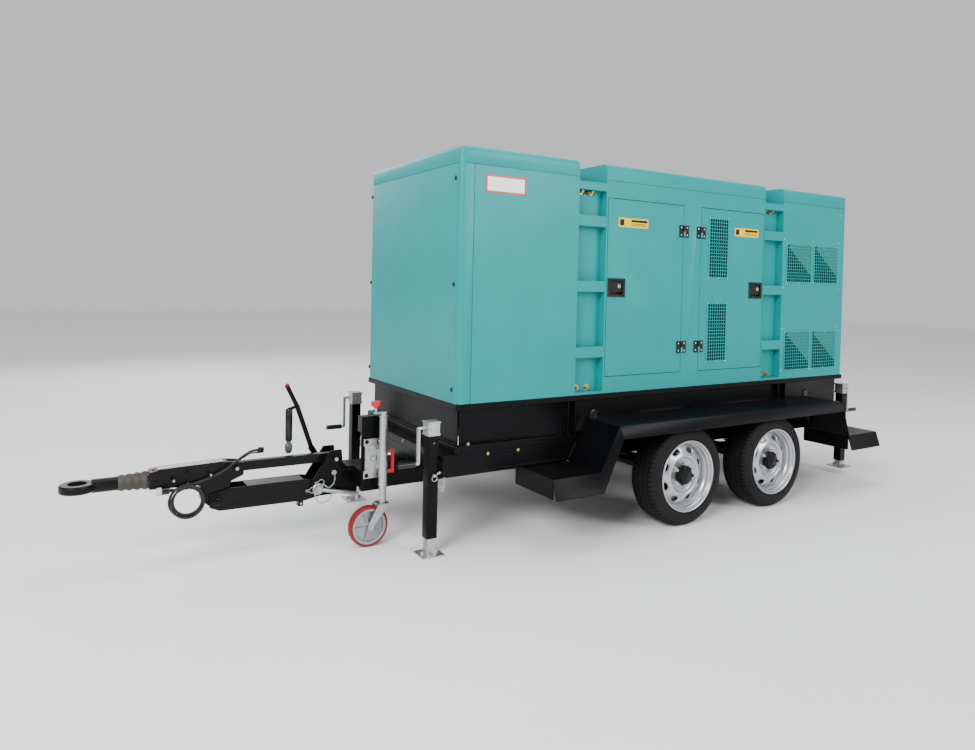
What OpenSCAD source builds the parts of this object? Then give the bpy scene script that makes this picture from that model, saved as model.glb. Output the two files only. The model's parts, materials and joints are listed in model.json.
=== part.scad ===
// Towable diesel generator: a silenced canopy on a tandem-axle trailer with an adjustable drawbar.
// Frame: +X points forward to the tow eye, +Y to the left, +Z up; the origin is on the ground
// below the middle of the overall length. A station is a distance back from the canopy's front face.

/* [Canopy] */
// Length of the canopy
canopy_l = 3513; // [3300:1:3700]
// Width of the canopy, base and chassis
canopy_w = 1254; // [1200:2:1300]
// Height of the canopy's floor edge above the ground
canopy_floor_z = 812; // [800:1:830]
// Height of the seam between the side panels and the roof caps
seam_z = 2124; // [2110:1:2140]
// Height of the roof
roof_z = 2223; // [2200:1:2260]
// Thickness of the lined panels
panel_t = 30; // [25:1:34]
// Radius of the upright corners and of the roof's edges
corner_r = 35; // [20:1:45]
// Station where the front housing ends
front_end = 813; // [790:1:830]
// Station where the middle housing starts
middle_start = 1027; // [1010:1:1030]
// Station where the middle housing ends
middle_end = 2520; // [2516:1:2530]
// Station where the rear housing starts
rear_start = 2729; // [2710:1:2750]
// Depth of the recess at the lifting columns
column_recess = 53; // [40:1:60]

/* [Doors] */
// Lower edge of the side door openings
door_z0 = 912; // [900:1:930]
// Upper edge of the side door openings
door_z1 = 2019; // [2000:1:2040]
// Station of the front doors' hinge line
front_hinge_s = 1697; // [1690:1:1705]
// Station of the rear doors' hinge line
rear_hinge_s = 1860; // [1850:1:1870]
// Width of each door opening
door_w = 658; // [640:1:659]
// Thickness of a side door
door_t = 35; // [30:1:40]
// Gap around a door
door_gap = 4; // [2:0.5:6]

/* [Base and chassis] */
// Height of the base skid's lower edge
base_z = 540; // [530:1:545]
// Height of the chassis rails' lower edge
rail_z = 425; // [415:1:430]
// Width of a chassis rail
rail_w = 80; // [70:1:90]
// Width and height of the central spine beam
spine_w = 150; // [140:2:150]
// Underside of the spine beam
spine_z = 250; // [245:1:255]

/* [Running gear] */
// Outside diameter of a tyre
tyre_d = 620; // [610:2:632]
// Width of a tyre
tyre_w = 205; // [195:5:215]
// Diameter over the rim's flanges
rim_d = 441; // [430:1:446]
// Distance from the centreline to the middle of a tyre
track_half = 820; // [815:1:830]
// Station of the front axle
axle_front_s = 1488; // [1480:1:1495]
// Station of the rear axle
axle_rear_s = 2313; // [2300:1:2330]
// Distance from the centreline to the mudguards' outer edge
guard_y = 962; // [955:1:975]

/* [Jacks] */
// Side of the square jack tube
jack_tube = 60; // [58:1:64]
// Side of the square inner leg
jack_leg = 50; // [46:1:50]
// Station of the front jacks
jack_front_s = -115; // [-118:1:-112]
// Station of the rear jacks
jack_rear_s = 3608; // [3604:1:3612]
// Height of the rear feet above the ground
rear_foot_z = 50; // [30:1:52]

/* [Drawbar] */
// Distance from the canopy's front face to the tip of the tow eye
drawbar_reach = 1832; // [1800:1:1860]
// Height of the tow eye's centre
eye_z = 434; // [425:1:445]
// Outside diameter of the tow eye
eye_d = 160; // [150:1:170]
// Bore of the tow eye
eye_bore = 76; // [68:0.5:78]

/* [Hidden] */
$fn = 48;
fit = 0.05;          // radial clearance of a pin in its bore
slip = 0.5;          // gap between separate pieces that lie side by side
e = 0.01;
side_y = canopy_w / 2;
crank_reach = 195;   // from a jack's centre to the end of its crank grip
canopy_front_x = (jack_rear_s + crank_reach - drawbar_reach) / 2;
teal = [0.33, 0.70, 0.69];
black = [0.09, 0.09, 0.10];
zinc = [0.72, 0.73, 0.72];
rubber = [0.12, 0.12, 0.12];

// X of a station
function at(s) = canopy_front_x - s;
// Places the children at a station, offset and height
module put(s, y, z) { translate([at(s), y, z]) children(); }
// Box between two stations, two offsets and two heights
module block(s0, s1, y0, y1, z0, z1) { translate([at(s1), y0, z0]) cube([s1 - s0, y1 - y0, z1 - z0]); }
module both_sides() { children(); mirror([0, 1, 0]) children(); }
module side_of(side) { if (side > 0) children(); else mirror([0, 1, 0]) children(); }
module end_of(front) { if (front) children(); else mirror([1, 0, 0]) children(); }
// Cylinders along X and along Y, starting at the local origin
module rod_x(r, l) { rotate([0, 90, 0]) cylinder(r = r, h = l); }
module rod_y(r, l) { rotate([-90, 0, 0]) cylinder(r = r, h = l); }
// Flat bar with round ends between two [station, height] points, from y0 to y1
module bar(a, b, w, y0, y1) {
    run = [a[0] - b[0], b[1] - a[1]];
    translate([at(a[0]), y1, a[1]]) rotate([90, 0, 0]) linear_extrude(y1 - y0) {
        rotate(atan2(run[1], run[0])) translate([0, -w / 2]) square([norm(run), w]);
        circle(d = w + 2);
        translate(run) circle(d = w + 2);
    }
}
// Plate in the XZ plane from a list of [station, height] points
module plate(points, y0, y1) {
    translate([0, y1, 0]) rotate([90, 0, 0]) linear_extrude(y1 - y0)
        polygon([for (p = points) [at(p[0]), p[1]]]);
}

// ---------------------------------------------------------------- chassis
rail_top = base_z;
rail_flange = 14;
rail_inset = 6;
front_member_s = -75;
rear_member_s = 3560;
member_w = 80;
member_stations = [600, 1080, 1860, 2720];
member_l = 60;
hanger_half = [45, 38];      // along the trailer and across it

module rail_section() {
    difference() {
        translate([side_y - rail_w, rail_z]) square([rail_w, rail_top - rail_z]);
        translate([side_y - rail_inset, rail_z + rail_flange])
            square([rail_inset + e, rail_top - rail_z - 2 * rail_flange]);
    }
}

// Swivel pin and flange that a jack hangs on, in the jack's own frame
jack_pin_r = 18;
jack_pivot_z = 480;
jack_y = side_y - 60;
jack_wall = 4;
jack_flange_r = 42;
module jack_stub(gap) {
    translate([-jack_tube / 2 - gap - e, 0, jack_pivot_z]) {
        rod_x(jack_flange_r, gap - slip);
        rod_x(jack_pin_r, gap + jack_wall - 1);
    }
}
front_gap = -jack_front_s + front_member_s - jack_tube / 2;
rear_gap = jack_rear_s - rear_member_s - jack_tube / 2;
module jack_place(front, side) {
    side_of(side) translate([at(front ? jack_front_s : jack_rear_s), jack_y, 0]) end_of(front) children();
}

module chassis_frame() color(black) {
    both_sides() translate([at(rear_member_s - member_w) + slip, 0, 0]) rotate([90, 0, 90])
        linear_extrude(rear_member_s - front_member_s - 2 * member_w - 2 * slip) rail_section();
    for (s = member_stations)
        block(s, s + member_l, -side_y + rail_w + slip, side_y - rail_w - slip, rail_z + 15, rail_top - 10);
    block(front_member_s, front_member_s + member_w, -side_y, side_y, rail_z, rail_top);
    block(rear_member_s - member_w, rear_member_s, -side_y, side_y, rail_z, rail_top);
    for (side = [-1, 1]) {
        jack_place(true, side) jack_stub(front_gap);
        jack_place(false, side) jack_stub(rear_gap);
    }
    // Hangers and equaliser boxes of the leaf springs
    both_sides() for (s = spring_eye_stations)
        block(s - hanger_half[0], s + hanger_half[0], spring_y - hanger_half[1], spring_y + hanger_half[1],
            spring_eye_z + slip, rail_z + e);
}

// ---------------------------------------------------------------- spine, drawbar bracket, jockey tower
spine_front_s = -430;
spine_back_s = 1000;
spine_wall = 8;
arm_rear = [-574, 292];      // station and height of the arm's rear pivot
arm_front = [-1115, 296];    // and of its front pivot
link_shift = [102, 159];     // from each arm pivot to the link pivot beside it
link_rear = arm_rear + link_shift;
link_front = arm_front + link_shift;
pivot_r = 12;
arm_half = 60;               // half width of the arm
cheek_y = [61, 71];
lever_pivot = [-532, 440];
lever_y = [-100, -88];
tower_y = 222;
tower_s = [-380, -245];
swing_pivot = [-318, 475];   // station and height of the jockey swivel
swing_pin_r = 15;
cheek_outline = [[-612, 255], [-612, 330], [-500, 500], [-436, 500], [-429, 424], [-403, 400],
    [-330, 400], [-330, 250], [-600, 250]];

module spine_beam() color(black) {
    difference() {
        block(spine_front_s, spine_back_s, -spine_w / 2, spine_w / 2, spine_z, spine_z + spine_w);
        block(spine_front_s - e, spine_back_s + e, -spine_w / 2 + spine_wall, spine_w / 2 - spine_wall,
            spine_z + spine_wall, spine_z + spine_w - spine_wall);
    }
    for (s = [-70, 605, 940])
        block(s, s + 50, -60, 60, spine_z + spine_w - e, rail_z + (s < 0 ? 0 : 15) - slip);
    both_sides() difference() {
        plate(cheek_outline, cheek_y[0], cheek_y[1]);
        for (p = [arm_rear, link_rear]) put(p[0], cheek_y[0] - 1, p[1]) rod_y(pivot_r + fit, 12);
    }
    // Pivot pins of the arm and the link, carried by the cheeks
    for (p = [arm_rear, link_rear]) put(p[0], -cheek_y[1] - 6, p[1])
        rod_y(pivot_r + fit + e, 2 * cheek_y[1] + 12);
    // Pin of the handbrake lever
    put(lever_pivot[0], lever_y[0] - 4, lever_pivot[1]) rod_y(8, -lever_y[0] + 4 - cheek_y[0]);
    // Outrigger and tower of the jockey wheel
    block(tower_s[0] + 10, tower_s[1] - 10, spine_w / 2 - e, tower_y + e, spine_z + 50, spine_z + spine_w);
    block(tower_s[0], tower_s[1], tower_y, tower_y + 10, 290, 640);
    block(tower_s[0], tower_s[1], tower_y - 50, tower_y + 10, 620, 710);
    block(-371, -262, tower_y + 10 - e, tower_y + 18, 362, 585);
    put(swing_pivot[0], tower_y + 18 - e, swing_pivot[1]) rod_y(swing_pin_r, 20);
}

// ---------------------------------------------------------------- base skid with the tank
lip = 40;
base_skin = 8;
top_lip_h = 34;
low_lip_h = 43;
bearer_y = 330;
bearer_s = [560, 2450];
bearer_z = canopy_floor_z + 24;
stiffener_stations = [772, 824, 2728, 2810];

module base_section() {
    translate([side_y - lip, base_z + slip]) {
        square([base_skin, canopy_floor_z - base_z - 2 * slip]);
        square([lip, low_lip_h - slip]);
        translate([0, canopy_floor_z - base_z - top_lip_h - 2 * slip]) square([lip, top_lip_h]);
    }
}
module base_frame() color(black) {
    both_sides() {
        translate([at(canopy_l - lip) + slip, 0, 0]) rotate([90, 0, 90])
            linear_extrude(canopy_l - 2 * lip - 2 * slip) base_section();
        for (s = stiffener_stations)
            block(s - 4, s + 4, side_y - lip, side_y - 2, base_z + low_lip_h - 1,
                canopy_floor_z - top_lip_h);
    }
    for (s = [0, canopy_l - lip]) {
        block(s, s + lip, -side_y, side_y, base_z + slip, base_z + low_lip_h);
        block(s, s + lip, -side_y, side_y, canopy_floor_z - top_lip_h - slip, canopy_floor_z - slip);
        block(s + (s > 0 ? 0 : lip - base_skin), s + (s > 0 ? base_skin : lip), -side_y + lip, side_y - lip,
            base_z + low_lip_h - e, canopy_floor_z - top_lip_h);
    }
    for (side = [-1, 1])
        block(bearer_s[0], bearer_s[1], side * bearer_y - 35, side * bearer_y + 35,
            canopy_floor_z - 12, bearer_z);
}
module fuel_tank() color("dimgray") {
    difference() {
        block(880, 2640, -540, 540, base_z + 25, canopy_floor_z - 14);
        block(884, 2636, -536, 536, base_z + 29, canopy_floor_z - 18);
    }
    put(2560, 380, canopy_floor_z - 15) difference() {
        cylinder(r = 40, h = 90);
        translate([0, 0, 4]) cylinder(r = 36, h = 90);
    }
}

// ---------------------------------------------------------------- canopy
roof_drop = 22;      // the roof channels lie this far below the seam
groove = 4;
groove_depth = 3;
front_seam_s = 86;   // upright seam behind the front corner

// Solid envelope between two stations, with rounded roof edges; front or back corners rounded too
module envelope(s0, s1, inset, front_round, back_round) {
    r = max(corner_r - inset, 1);
    l = s1 - s0;
    intersection() {
        translate([at(s1), 0, 0]) rotate([90, 0, 90]) linear_extrude(l) {
            translate([-side_y + inset, canopy_floor_z])
                square([canopy_w - 2 * inset, roof_z - inset - r - canopy_floor_z]);
            translate([-side_y + inset + r, canopy_floor_z])
                square([canopy_w - 2 * inset - 2 * r, roof_z - inset - canopy_floor_z]);
            for (y = [-1, 1]) translate([y * (side_y - inset - r), roof_z - inset - r]) circle(r);
        }
        union() {
            block(s0 + (front_round ? r : 0), s1 - (back_round ? r : 0), -side_y, side_y,
                canopy_floor_z - 1, roof_z + 1);
            if (front_round) corner_column(s0 + r, r, inset);
            if (back_round) corner_column(s1 - r, r, inset);
        }
        translate([0, side_y + 1, 0]) rotate([90, 0, 0]) linear_extrude(canopy_w + 2) {
            translate([at(s1), canopy_floor_z - 1]) square([l, roof_z - r - inset - canopy_floor_z + 1]);
            translate([at(s1) + (back_round ? r : 0), canopy_floor_z - 1])
                square([l - (front_round ? r : 0) - (back_round ? r : 0),
                    roof_z - inset - canopy_floor_z + 1]);
            if (front_round) translate([at(s0) - r, roof_z - inset - r]) circle(r);
            if (back_round) translate([at(s1) + r, roof_z - inset - r]) circle(r);
        }
    }
}
module corner_column(s, r, inset) {
    for (y = [-1, 1]) put(s, y * (side_y - inset - r), canopy_floor_z - 1) cylinder(r = r, h = roof_z);
    block(s - r, s + r, -side_y + inset + r, side_y - inset - r, canopy_floor_z - 1, roof_z + 1);
}
// Hollow housing, open below and at each end that is not closed
module housing(s0, s1, front_closed, back_closed) {
    difference() {
        envelope(s0, s1, 0, front_closed, back_closed);
        intersection() {
            envelope(s0 + (front_closed ? panel_t : -1), s1 - (back_closed ? panel_t : -1), panel_t,
                false, false);
            block(s0 - 1, s1 + 1, -side_y + panel_t, side_y - panel_t, canopy_floor_z - 1,
                roof_z - panel_t);
        }
        block(s0 - 1, s1 + 1, -side_y + panel_t, side_y - panel_t, canopy_floor_z - 2, canopy_floor_z + 1);
        seam_cut(s0, s1);
    }
}
// Groove under the roof cap, around both sides and both ends
module seam_cut(s0, s1) {
    difference() {
        block(s0 - 1, s1 + 1, -side_y - 1, side_y + 1, seam_z - groove / 2, seam_z + groove / 2);
        block(s0 + 3, s1 - 3, -side_y + 3, side_y - 3, seam_z - groove, seam_z + groove);
    }
}
module canopy_front() color(teal) {
    difference() {
        housing(0, front_end, true, false);
        for (side = [-1, 1])
            block(front_seam_s, front_seam_s + groove, side * side_y - groove_depth,
                side * side_y + groove_depth, canopy_floor_z - 1, seam_z);
        // Hot air leaves through the roof of the front housing
        for (i = [0:5]) block(150 + i * 90, 190 + i * 90, -400, 400, roof_z - panel_t - 1, roof_z + 1);
    }
}
module canopy_middle() color(teal) {
    difference() {
        housing(middle_start, middle_end, false, false);
        for (side = [-1, 1]) {
            block(front_hinge_s - door_w, front_hinge_s, side * side_y - 40, side * side_y + 40,
                door_z0, door_z1);
            block(rear_hinge_s, rear_hinge_s + door_w - 6, side * side_y - 40, side * side_y + 40,
                door_z0, door_z1);
        }
    }
    both_sides() {
        hinge_line(true) hinge_fixed();
        hinge_line(false) hinge_fixed();
    }
}
grille_stations = [[2781, 3075], [3110, 3406]];
grille_heights = [[875, 1162], [1532, 1817]];
grille_slots = 7;
rear_door_y = [-300, 300];
rear_door_z = [1100, 1950];
rear_door_t = 28;
rear_hinge_lift = 60;       // the rear door's hinges stand this far above the side doors'
module canopy_rear() color(teal) {
    difference() {
        housing(rear_start, canopy_l, false, true);
        for (side = [-1, 1], g = grille_stations, h = grille_heights) {
            pitch = (g[1] - g[0]) / grille_slots;
            for (i = [0:grille_slots - 1])
                block(g[0] + i * pitch, g[0] + i * pitch + 26, side * side_y - 40, side * side_y + 40,
                    h[0], h[1]);
        }
        block(canopy_l - 40, canopy_l + 1, rear_door_y[0], rear_door_y[1], rear_door_z[0], rear_door_z[1]);
    }
    rear_hinge_place() hinge_fixed();
}
column_sheet = 6;
rung_stations = [[front_end, middle_start], [middle_end, rear_start]];
rung_z = [1069, 1470, 1867];
rung_h = 66;
lug_y = 430;
lug_r = 22;
lug_z = 2172;
module lifting_columns() color(teal) for (c = rung_stations) {
    s0 = c[0] + slip;
    s1 = c[1] - slip;
    both_sides() {
        block(s0, s1, side_y - column_recess - column_sheet, side_y - column_recess, canopy_floor_z,
            seam_z - 30 - slip);
        for (z = rung_z)
            block(s0, s1, side_y - column_recess - e, side_y, z - rung_h / 2, z + rung_h / 2);
        block(s0, s1, side_y - column_recess - e, side_y, seam_z - 70, seam_z - 30 - slip);
        block(s0, s1, side_y - column_recess - e, side_y, canopy_floor_z, canopy_floor_z + 14);
    }
    // Roof channel across both columns, with the lifting lugs
    block(s0, s1, -side_y, side_y, seam_z - 30, seam_z - roof_drop);
    both_sides() difference() {
        hull() {
            put((s0 + s1) / 2 + 8, lug_y, lug_z) rod_x(42, 16);
            block((s0 + s1) / 2 - 8, (s0 + s1) / 2 + 8, lug_y - 70, lug_y + 70, seam_z - roof_drop - e,
                seam_z - 10);
        }
        put((s0 + s1) / 2 + 20, lug_y, lug_z) rod_x(lug_r, 40);
    }
}

// ---------------------------------------------------------------- door hinges, doors and latches
hinge_r = 7.5;
hinge_pin_r = 3;
hinge_out = hinge_r + slip;           // from the panel's face to the hinge axis
hinge_h = 70;
hinge_leaf = 38;
hinge_leaf_t = 5;
hinge_heights = [1080, 1847];
door_swing_gap = 3;
// Left side, at the front or rear doors' hinge line; local +X runs from the post to the door
module hinge_line(front) {
    translate([at(front ? front_hinge_s : rear_hinge_s), side_y + hinge_out, 0]) end_of(front) children();
}
module knuckle(z0, z1, x_dir) {
    translate([0, 0, z0]) cylinder(r = hinge_r, h = z1 - z0);
    translate([x_dir > 0 ? 0 : -hinge_leaf, -hinge_out, z0]) cube([hinge_leaf, hinge_leaf_t, z1 - z0]);
}
module hinge_fixed() for (z = hinge_heights) {
    knuckle(z - hinge_h / 2, z - slip, -1);
    translate([0, 0, z - hinge_h / 2]) cylinder(r = hinge_pin_r, h = hinge_h);
}
module hinge_moving() for (z = hinge_heights) difference() {
    knuckle(z, z + hinge_h / 2, 1);
    translate([0, 0, z - 1]) cylinder(r = hinge_pin_r + fit, h = hinge_h);
}
latch_w = 140;
latch_h = 116;
latch_z = 1465;
latch_x = [508, 500];                 // from the hinge axis to the latch's near edge, front and rear doors
pocket_w = 100;
pocket_h = 84;
pocket_depth = 24;
latch_pin_r = 2.5;
vent_x = [80, 277];
vent_heights = [[974, 1388], [1546, 1970]];
vent_slots = 7;
module door_panel(vents, latch_at) {
    w = door_w - door_gap - door_swing_gap - (vents ? 6 : 0);
    y1 = -hinge_out;
    difference() {
        union() {
            translate([door_swing_gap, y1 - door_t, door_z0 + door_gap])
                cube([w, door_t, door_z1 - door_z0 - 2 * door_gap]);
            translate([latch_at, y1 - e, latch_z - latch_h / 2]) cube([latch_w, 4, latch_h]);
        }
        if (vents) for (h = vent_heights, i = [0:vent_slots - 1]) {
            pitch = (h[1] - h[0]) / vent_slots;
            translate([vent_x[0], y1 - door_t - 1, h[0] + i * pitch])
                cube([vent_x[1] - vent_x[0], door_t + 2, pitch - 20]);
        }
        translate([latch_at + (latch_w - pocket_w) / 2, y1 - pocket_depth, latch_z - pocket_h / 2])
            cube([pocket_w, pocket_depth + 10, pocket_h]);
        latch_pivot(latch_at) translate([-pocket_w / 2 - 6, 0, 0]) rod_x(latch_pin_r + fit, pocket_w + 12);
    }
    hinge_moving();
}
module latch_pivot(latch_at) {
    translate([latch_at + latch_w / 2, -hinge_out - 6, latch_z + pocket_h / 2 - 9]) children();
}
module paddle(latch_at) latch_pivot(latch_at) {
    translate([-pocket_w / 2 - 5, 0, 0]) rod_x(latch_pin_r, pocket_w + 10);
    translate([-pocket_w / 2 + 3, -3, -62]) cube([pocket_w - 6, 8, 66]);
}
module door(front, side) side_of(side) hinge_line(front) door_panel(!front, latch_x[front ? 0 : 1]);
module latch(front, side) side_of(side) hinge_line(front) paddle(latch_x[front ? 0 : 1]);
module door_front_left() color(teal) door(true, 1);
module door_rear_left() color(teal) door(false, 1);
module door_front_right() color(teal) door(true, -1);
module door_rear_right() color(teal) door(false, -1);
module latch_front_left() color(black) latch(true, 1);
module latch_rear_left() color(black) latch(false, 1);
module latch_front_right() color(black) latch(true, -1);
module latch_rear_right() color(black) latch(false, -1);

// Rear control door, hinged on its right edge; local +X runs from the post to the door
module rear_hinge_place() {
    translate([at(canopy_l) - hinge_out, rear_door_y[0], rear_hinge_lift]) rotate([0, 0, 90]) children();
}
module rear_door() color(teal) rear_hinge_place() {
    w = rear_door_y[1] - rear_door_y[0] - door_gap - door_swing_gap;
    z0 = rear_door_z[0] - rear_hinge_lift + door_gap;
    z1 = rear_door_z[1] - rear_hinge_lift - door_gap;
    difference() {
        translate([door_swing_gap, -hinge_out - rear_door_t, z0]) cube([w, rear_door_t, z1 - z0]);
        translate([150, -60, z1 - 420]) cube([300, 120, 260]);
    }
    hinge_moving();
}

// ---------------------------------------------------------------- power set
crank_z = 1230;      // height of the crankshaft
module engine() color("gold") {
    block(800, 1600, -190, 190, 1000, 1450);
    block(830, 1570, -150, 150, 1449, 1610);
    block(860, 1500, -140, 140, 880, 1001);
    put(1680, 0, crank_z) rod_x(240, 81);
    for (y = [-1, 1], s = [865, 1495]) {
        block(s, s + 70, y > 0 ? 189 : -bearer_y - 40, y > 0 ? bearer_y + 40 : -189, 1040, 1100);
        put(s + 35, y * bearer_y, bearer_z) cylinder(r = 32, h = 205);
    }
    // Air cleaner and its pipe
    put(1420, 290, 1660) rod_x(110, 420);
    block(1150, 1250, 140, 280, 1520, 1600);
    // Crankshaft pulley, fan hub and the arm between them
    put(801, 0, crank_z) rod_x(75, 55);
    put(750, 0, 1400) rod_x(50, 90);
    block(742, 801, -40, 40, crank_z, 1395);
    for (a = [0:60:300]) put(715, 0, 1400) rotate([a, 0, 0]) translate([0, -24, 30]) cube([12, 48, 220]);
}
module alternator() color("green") {
    put(2300, 0, crank_z) rod_x(230, 620 - slip);
    block(1900, 2200, -160, 160, crank_z + 180, crank_z + 400);
    for (y = [-1, 1], s = [1800, 2180])
        block(s, s + 80, y > 0 ? 120 : -bearer_y - 25, y > 0 ? bearer_y + 25 : -120, bearer_z,
            crank_z - 150);
}
module radiator() color("darkslategray") {
    difference() {
        block(520, 640, -470, 470, 900, 1900);
        put(641, 0, 1400) rod_x(300, 60);
    }
    block(540, 620, -430, 430, 1899, 1980);
    for (y = [-1, 1]) block(560, 640, y * 350 - 40, y * 350 + 40, bearer_z, 901);
    block(505, 521, -450, 450, 940, 1880);
}
module silencer() color("silver") {
    put(310, -400, 1860) rod_y(130, 800);
    put(310, 200, 1940) cylinder(r = 45, h = 160);
    for (y = [-300, 300]) block(290, 330, y - 20, y + 20, canopy_floor_z + slip, 1750);
    block(240, 380, -340, 340, 1720, 1740);
}
module battery() color(black) {
    for (y = [180, 400]) {
        block(2900, 3130, y - 90, y + 90, canopy_floor_z + slip, 1030);
        for (s = [2935, 3095]) put(s, y, 1029) cylinder(r = 9, h = 18);
    }
}
module control_cabinet() color("lightgray") {
    difference() {
        block(3180, 3440, -290, 290, 1130, 1930);
        block(3200, 3420, -270, 270, 1150, 1910);
    }
    block(3439, 3446, -200, 200, 1480, 1800);
    for (y = [-1, 1]) block(3200, 3260, y * 240 - 30, y * 240 + 30, canopy_floor_z + slip, 1131);
}

// ---------------------------------------------------------------- mudguards
guard_sheet = 5;
guard_in = [side_y - 68, side_y + 1, side_y + 1, side_y + 1, side_y - 68];  // inner edge of each run
guard_crest = guard_y - 38;
guard_path = [[443, 421], [775, 421], [912, 670], [3030, 670], [3142, 410], [3500, 410]];
guard_drop = [110, 110, 68, 68, 105, 105];
bracket_stations = [1000, 1890, 2840];
module guard_flange(i) hull() for (k = [i, i + 1]) {
    p = guard_path[k];
    put(p[0], 0, 0) {
        translate([-0.5, guard_crest - 1, p[1] - guard_sheet]) cube([1, 5, guard_sheet]);
        translate([-0.5, guard_y - guard_sheet, p[1] - guard_drop[k]]) cube([1, guard_sheet, 5]);
    }
}
// Sheet along the path, between two of its corners
module guard_top(i) {
    a = guard_path[i];
    b = guard_path[i + 1];
    plate([a, b, b - [0, guard_sheet + 1], a - [0, guard_sheet + 1]], guard_in[i], guard_crest + 2);
}
module guard_end(s, i) {
    block(s - 3, s + 3, guard_in[0], guard_crest, guard_path[i][1] - guard_drop[i], guard_path[i][1] - 1);
}
module mudguards() color(black) both_sides() {
    for (i = [0:4]) {
        guard_top(i);
        guard_flange(i);
    }
    guard_end(446, 0);
    guard_end(772, 0);
    guard_end(3148, 5);
    guard_end(3497, 5);
    for (s = bracket_stations) plate([[s, 668], [s + 8, 668], [s + 8, 480], [s, 480]], side_y, side_y + 80);
}

// ---------------------------------------------------------------- axles, springs and wheels
hub_z = tyre_d / 2;
spring_y = 585;
spring_leaves = 5;
spring_span = 345;
axle_stations = [axle_front_s, axle_rear_s];
spring_eye_stations = [axle_front_s - spring_span, (axle_front_s + axle_rear_s) / 2,
    axle_rear_s + spring_span];
leaf_t = 8;
spring_sag = 20;
spring_eye_z = hub_z + 35 + leaf_t * spring_leaves + spring_sag;
// Leaf as a shallow arch of half length h, bowed down at its middle
function arch(h, z) = [for (i = [-8:8]) [i / 8 * h, z + spring_sag * pow(i / 8 * h / spring_span, 2)]];
module leaf(h, z) {
    low = arch(h, z);
    high = arch(h, z + leaf_t);
    rotate([90, 0, 0]) linear_extrude(60, center = true) polygon(concat(low, [for (i = [16:-1:0])
        high[i]]));
}
module leaf_springs() color(black) both_sides() for (s = axle_stations) {
    z0 = hub_z + 35 + slip;
    put(s, spring_y, z0) for (i = [0:spring_leaves - 1]) leaf(160 + 43 * i, (leaf_t - e) * i);
    put(s, spring_y, z0 - 5) for (x = [-45, 45], y = [-38, 38])
        translate([x, y, -75]) cylinder(r = 6, h = 130);
    put(s, spring_y, z0 + leaf_t * spring_leaves - e) translate([-60, -48, 0]) cube([120, 96, 8]);
}
spindle_r = 29.95;
spindle_out = 14;     // how far the spindle ends beyond the wheel disc
beam_half = 690;      // half length of an axle beam
drum_r = 125;
drum_end = 739;
module axles() color("dimgray") for (s = axle_stations) {
    difference() {
        block(s - 35, s + 35, -beam_half, beam_half, hub_z - 35, hub_z + 35);
        for (y = [-1, 1], x = [-45, 45], dy = [-38, 38])
            put(s - x, y * spring_y + dy, hub_z - 80) cylinder(r = 6.5, h = 160);
    }
    both_sides() {
        put(s, beam_half - 1, hub_z) rod_y(drum_r, drum_end - beam_half + 1);
        put(s, drum_end - 1, hub_z) rod_y(spindle_r, track_half + disc_y + spindle_out - drum_end + 1);
    }
}
module wheel_place(front, side) side_of(side)
    put(front ? axle_front_s : axle_rear_s, track_half, hub_z) children();
tyre_r = tyre_d / 2;
rim_r = rim_d / 2;
bead_r = rim_r - 16;
// Half outline of the tyre and the rim are turned about the wheel's axis
module turned() { rotate([-90, 0, 0]) rotate_extrude($fn = 96) children(); }
module tyre_shape() turned() difference() {
    union() {
        translate([bead_r, -tyre_w / 2 + 22]) square([tyre_r - bead_r - 24, tyre_w - 44]);
        translate([bead_r + 30, -tyre_w / 2]) square([tyre_r - bead_r - 72, tyre_w]);
        translate([tyre_r - 40, -tyre_w / 2 + 18]) square([40, tyre_w - 36]);
        for (y = [-1, 1]) translate([tyre_r - 42, y * (tyre_w / 2 - 24)]) circle(24);
    }
    for (y = [-66, -24, 20, 62]) translate([tyre_r - 8, y]) square([9, 6]);
}
hole_count = 8;
stud_count = 6;
stud_circle = 80;
disc_y = 47;          // the wheel disc's hub seat lies this far outside the tyre's middle
hole_circle = 155;    // hand holes: two round ends joined by a slot
hole_r = 17.5;
hole_half = 17;
hub_cap_r = 56;
module rim_shape() {
    difference() {
        turned() {
            translate([bead_r - 8, -tyre_w / 2 + 8]) square([8 - slip, tyre_w - 16]);
            for (y = [-1, 1]) translate([bead_r - 8, y * (tyre_w / 2 - 10) - 4])
                square([rim_r - bead_r + 8, 8]);
            translate([0, disc_y]) polygon([[spindle_r + fit, 0], [100, 0], [135, 16], [170, 18],
                [bead_r - 6, -4], [bead_r - 6, -12], [168, 8], [137, 6], [102, -10], [spindle_r + fit, -10]]);
        }
        for (y = [-1, 1]) translate([0, y * (tyre_w / 2 - 10), 0]) turned()
            translate([bead_r - slip, -14]) square([20, 10]);
        for (i = [0:hole_count - 1]) rotate([0, i * 360 / hole_count, 0]) {
            for (x = [-hole_half, hole_half]) translate([x, disc_y - 22, hole_circle]) rod_y(hole_r, 60);
            translate([-hole_half, disc_y - 22, hole_circle - hole_r + 1])
                cube([2 * hole_half, 60, 2 * hole_r - 2]);
        }
    }
    for (i = [0:stud_count - 1]) rotate([0, i * 360 / stud_count, 0])
        translate([0, disc_y - 1, stud_circle]) rod_y(11, 18);
    // Hub with its cap
    translate([0, disc_y - 1, 0]) difference() {
        rod_y(hub_cap_r, 40);
        translate([0, -1, 0]) rod_y(spindle_r + fit, 24);
    }
}
module tyre_front_left() color(rubber) wheel_place(true, 1) tyre_shape();
module tyre_rear_left() color(rubber) wheel_place(false, 1) tyre_shape();
module tyre_front_right() color(rubber) wheel_place(true, -1) tyre_shape();
module tyre_rear_right() color(rubber) wheel_place(false, -1) tyre_shape();
module rim_front_left() color("silver") wheel_place(true, 1) rim_shape();
module rim_rear_left() color("silver") wheel_place(false, 1) rim_shape();
module rim_front_right() color("silver") wheel_place(true, -1) rim_shape();
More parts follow.
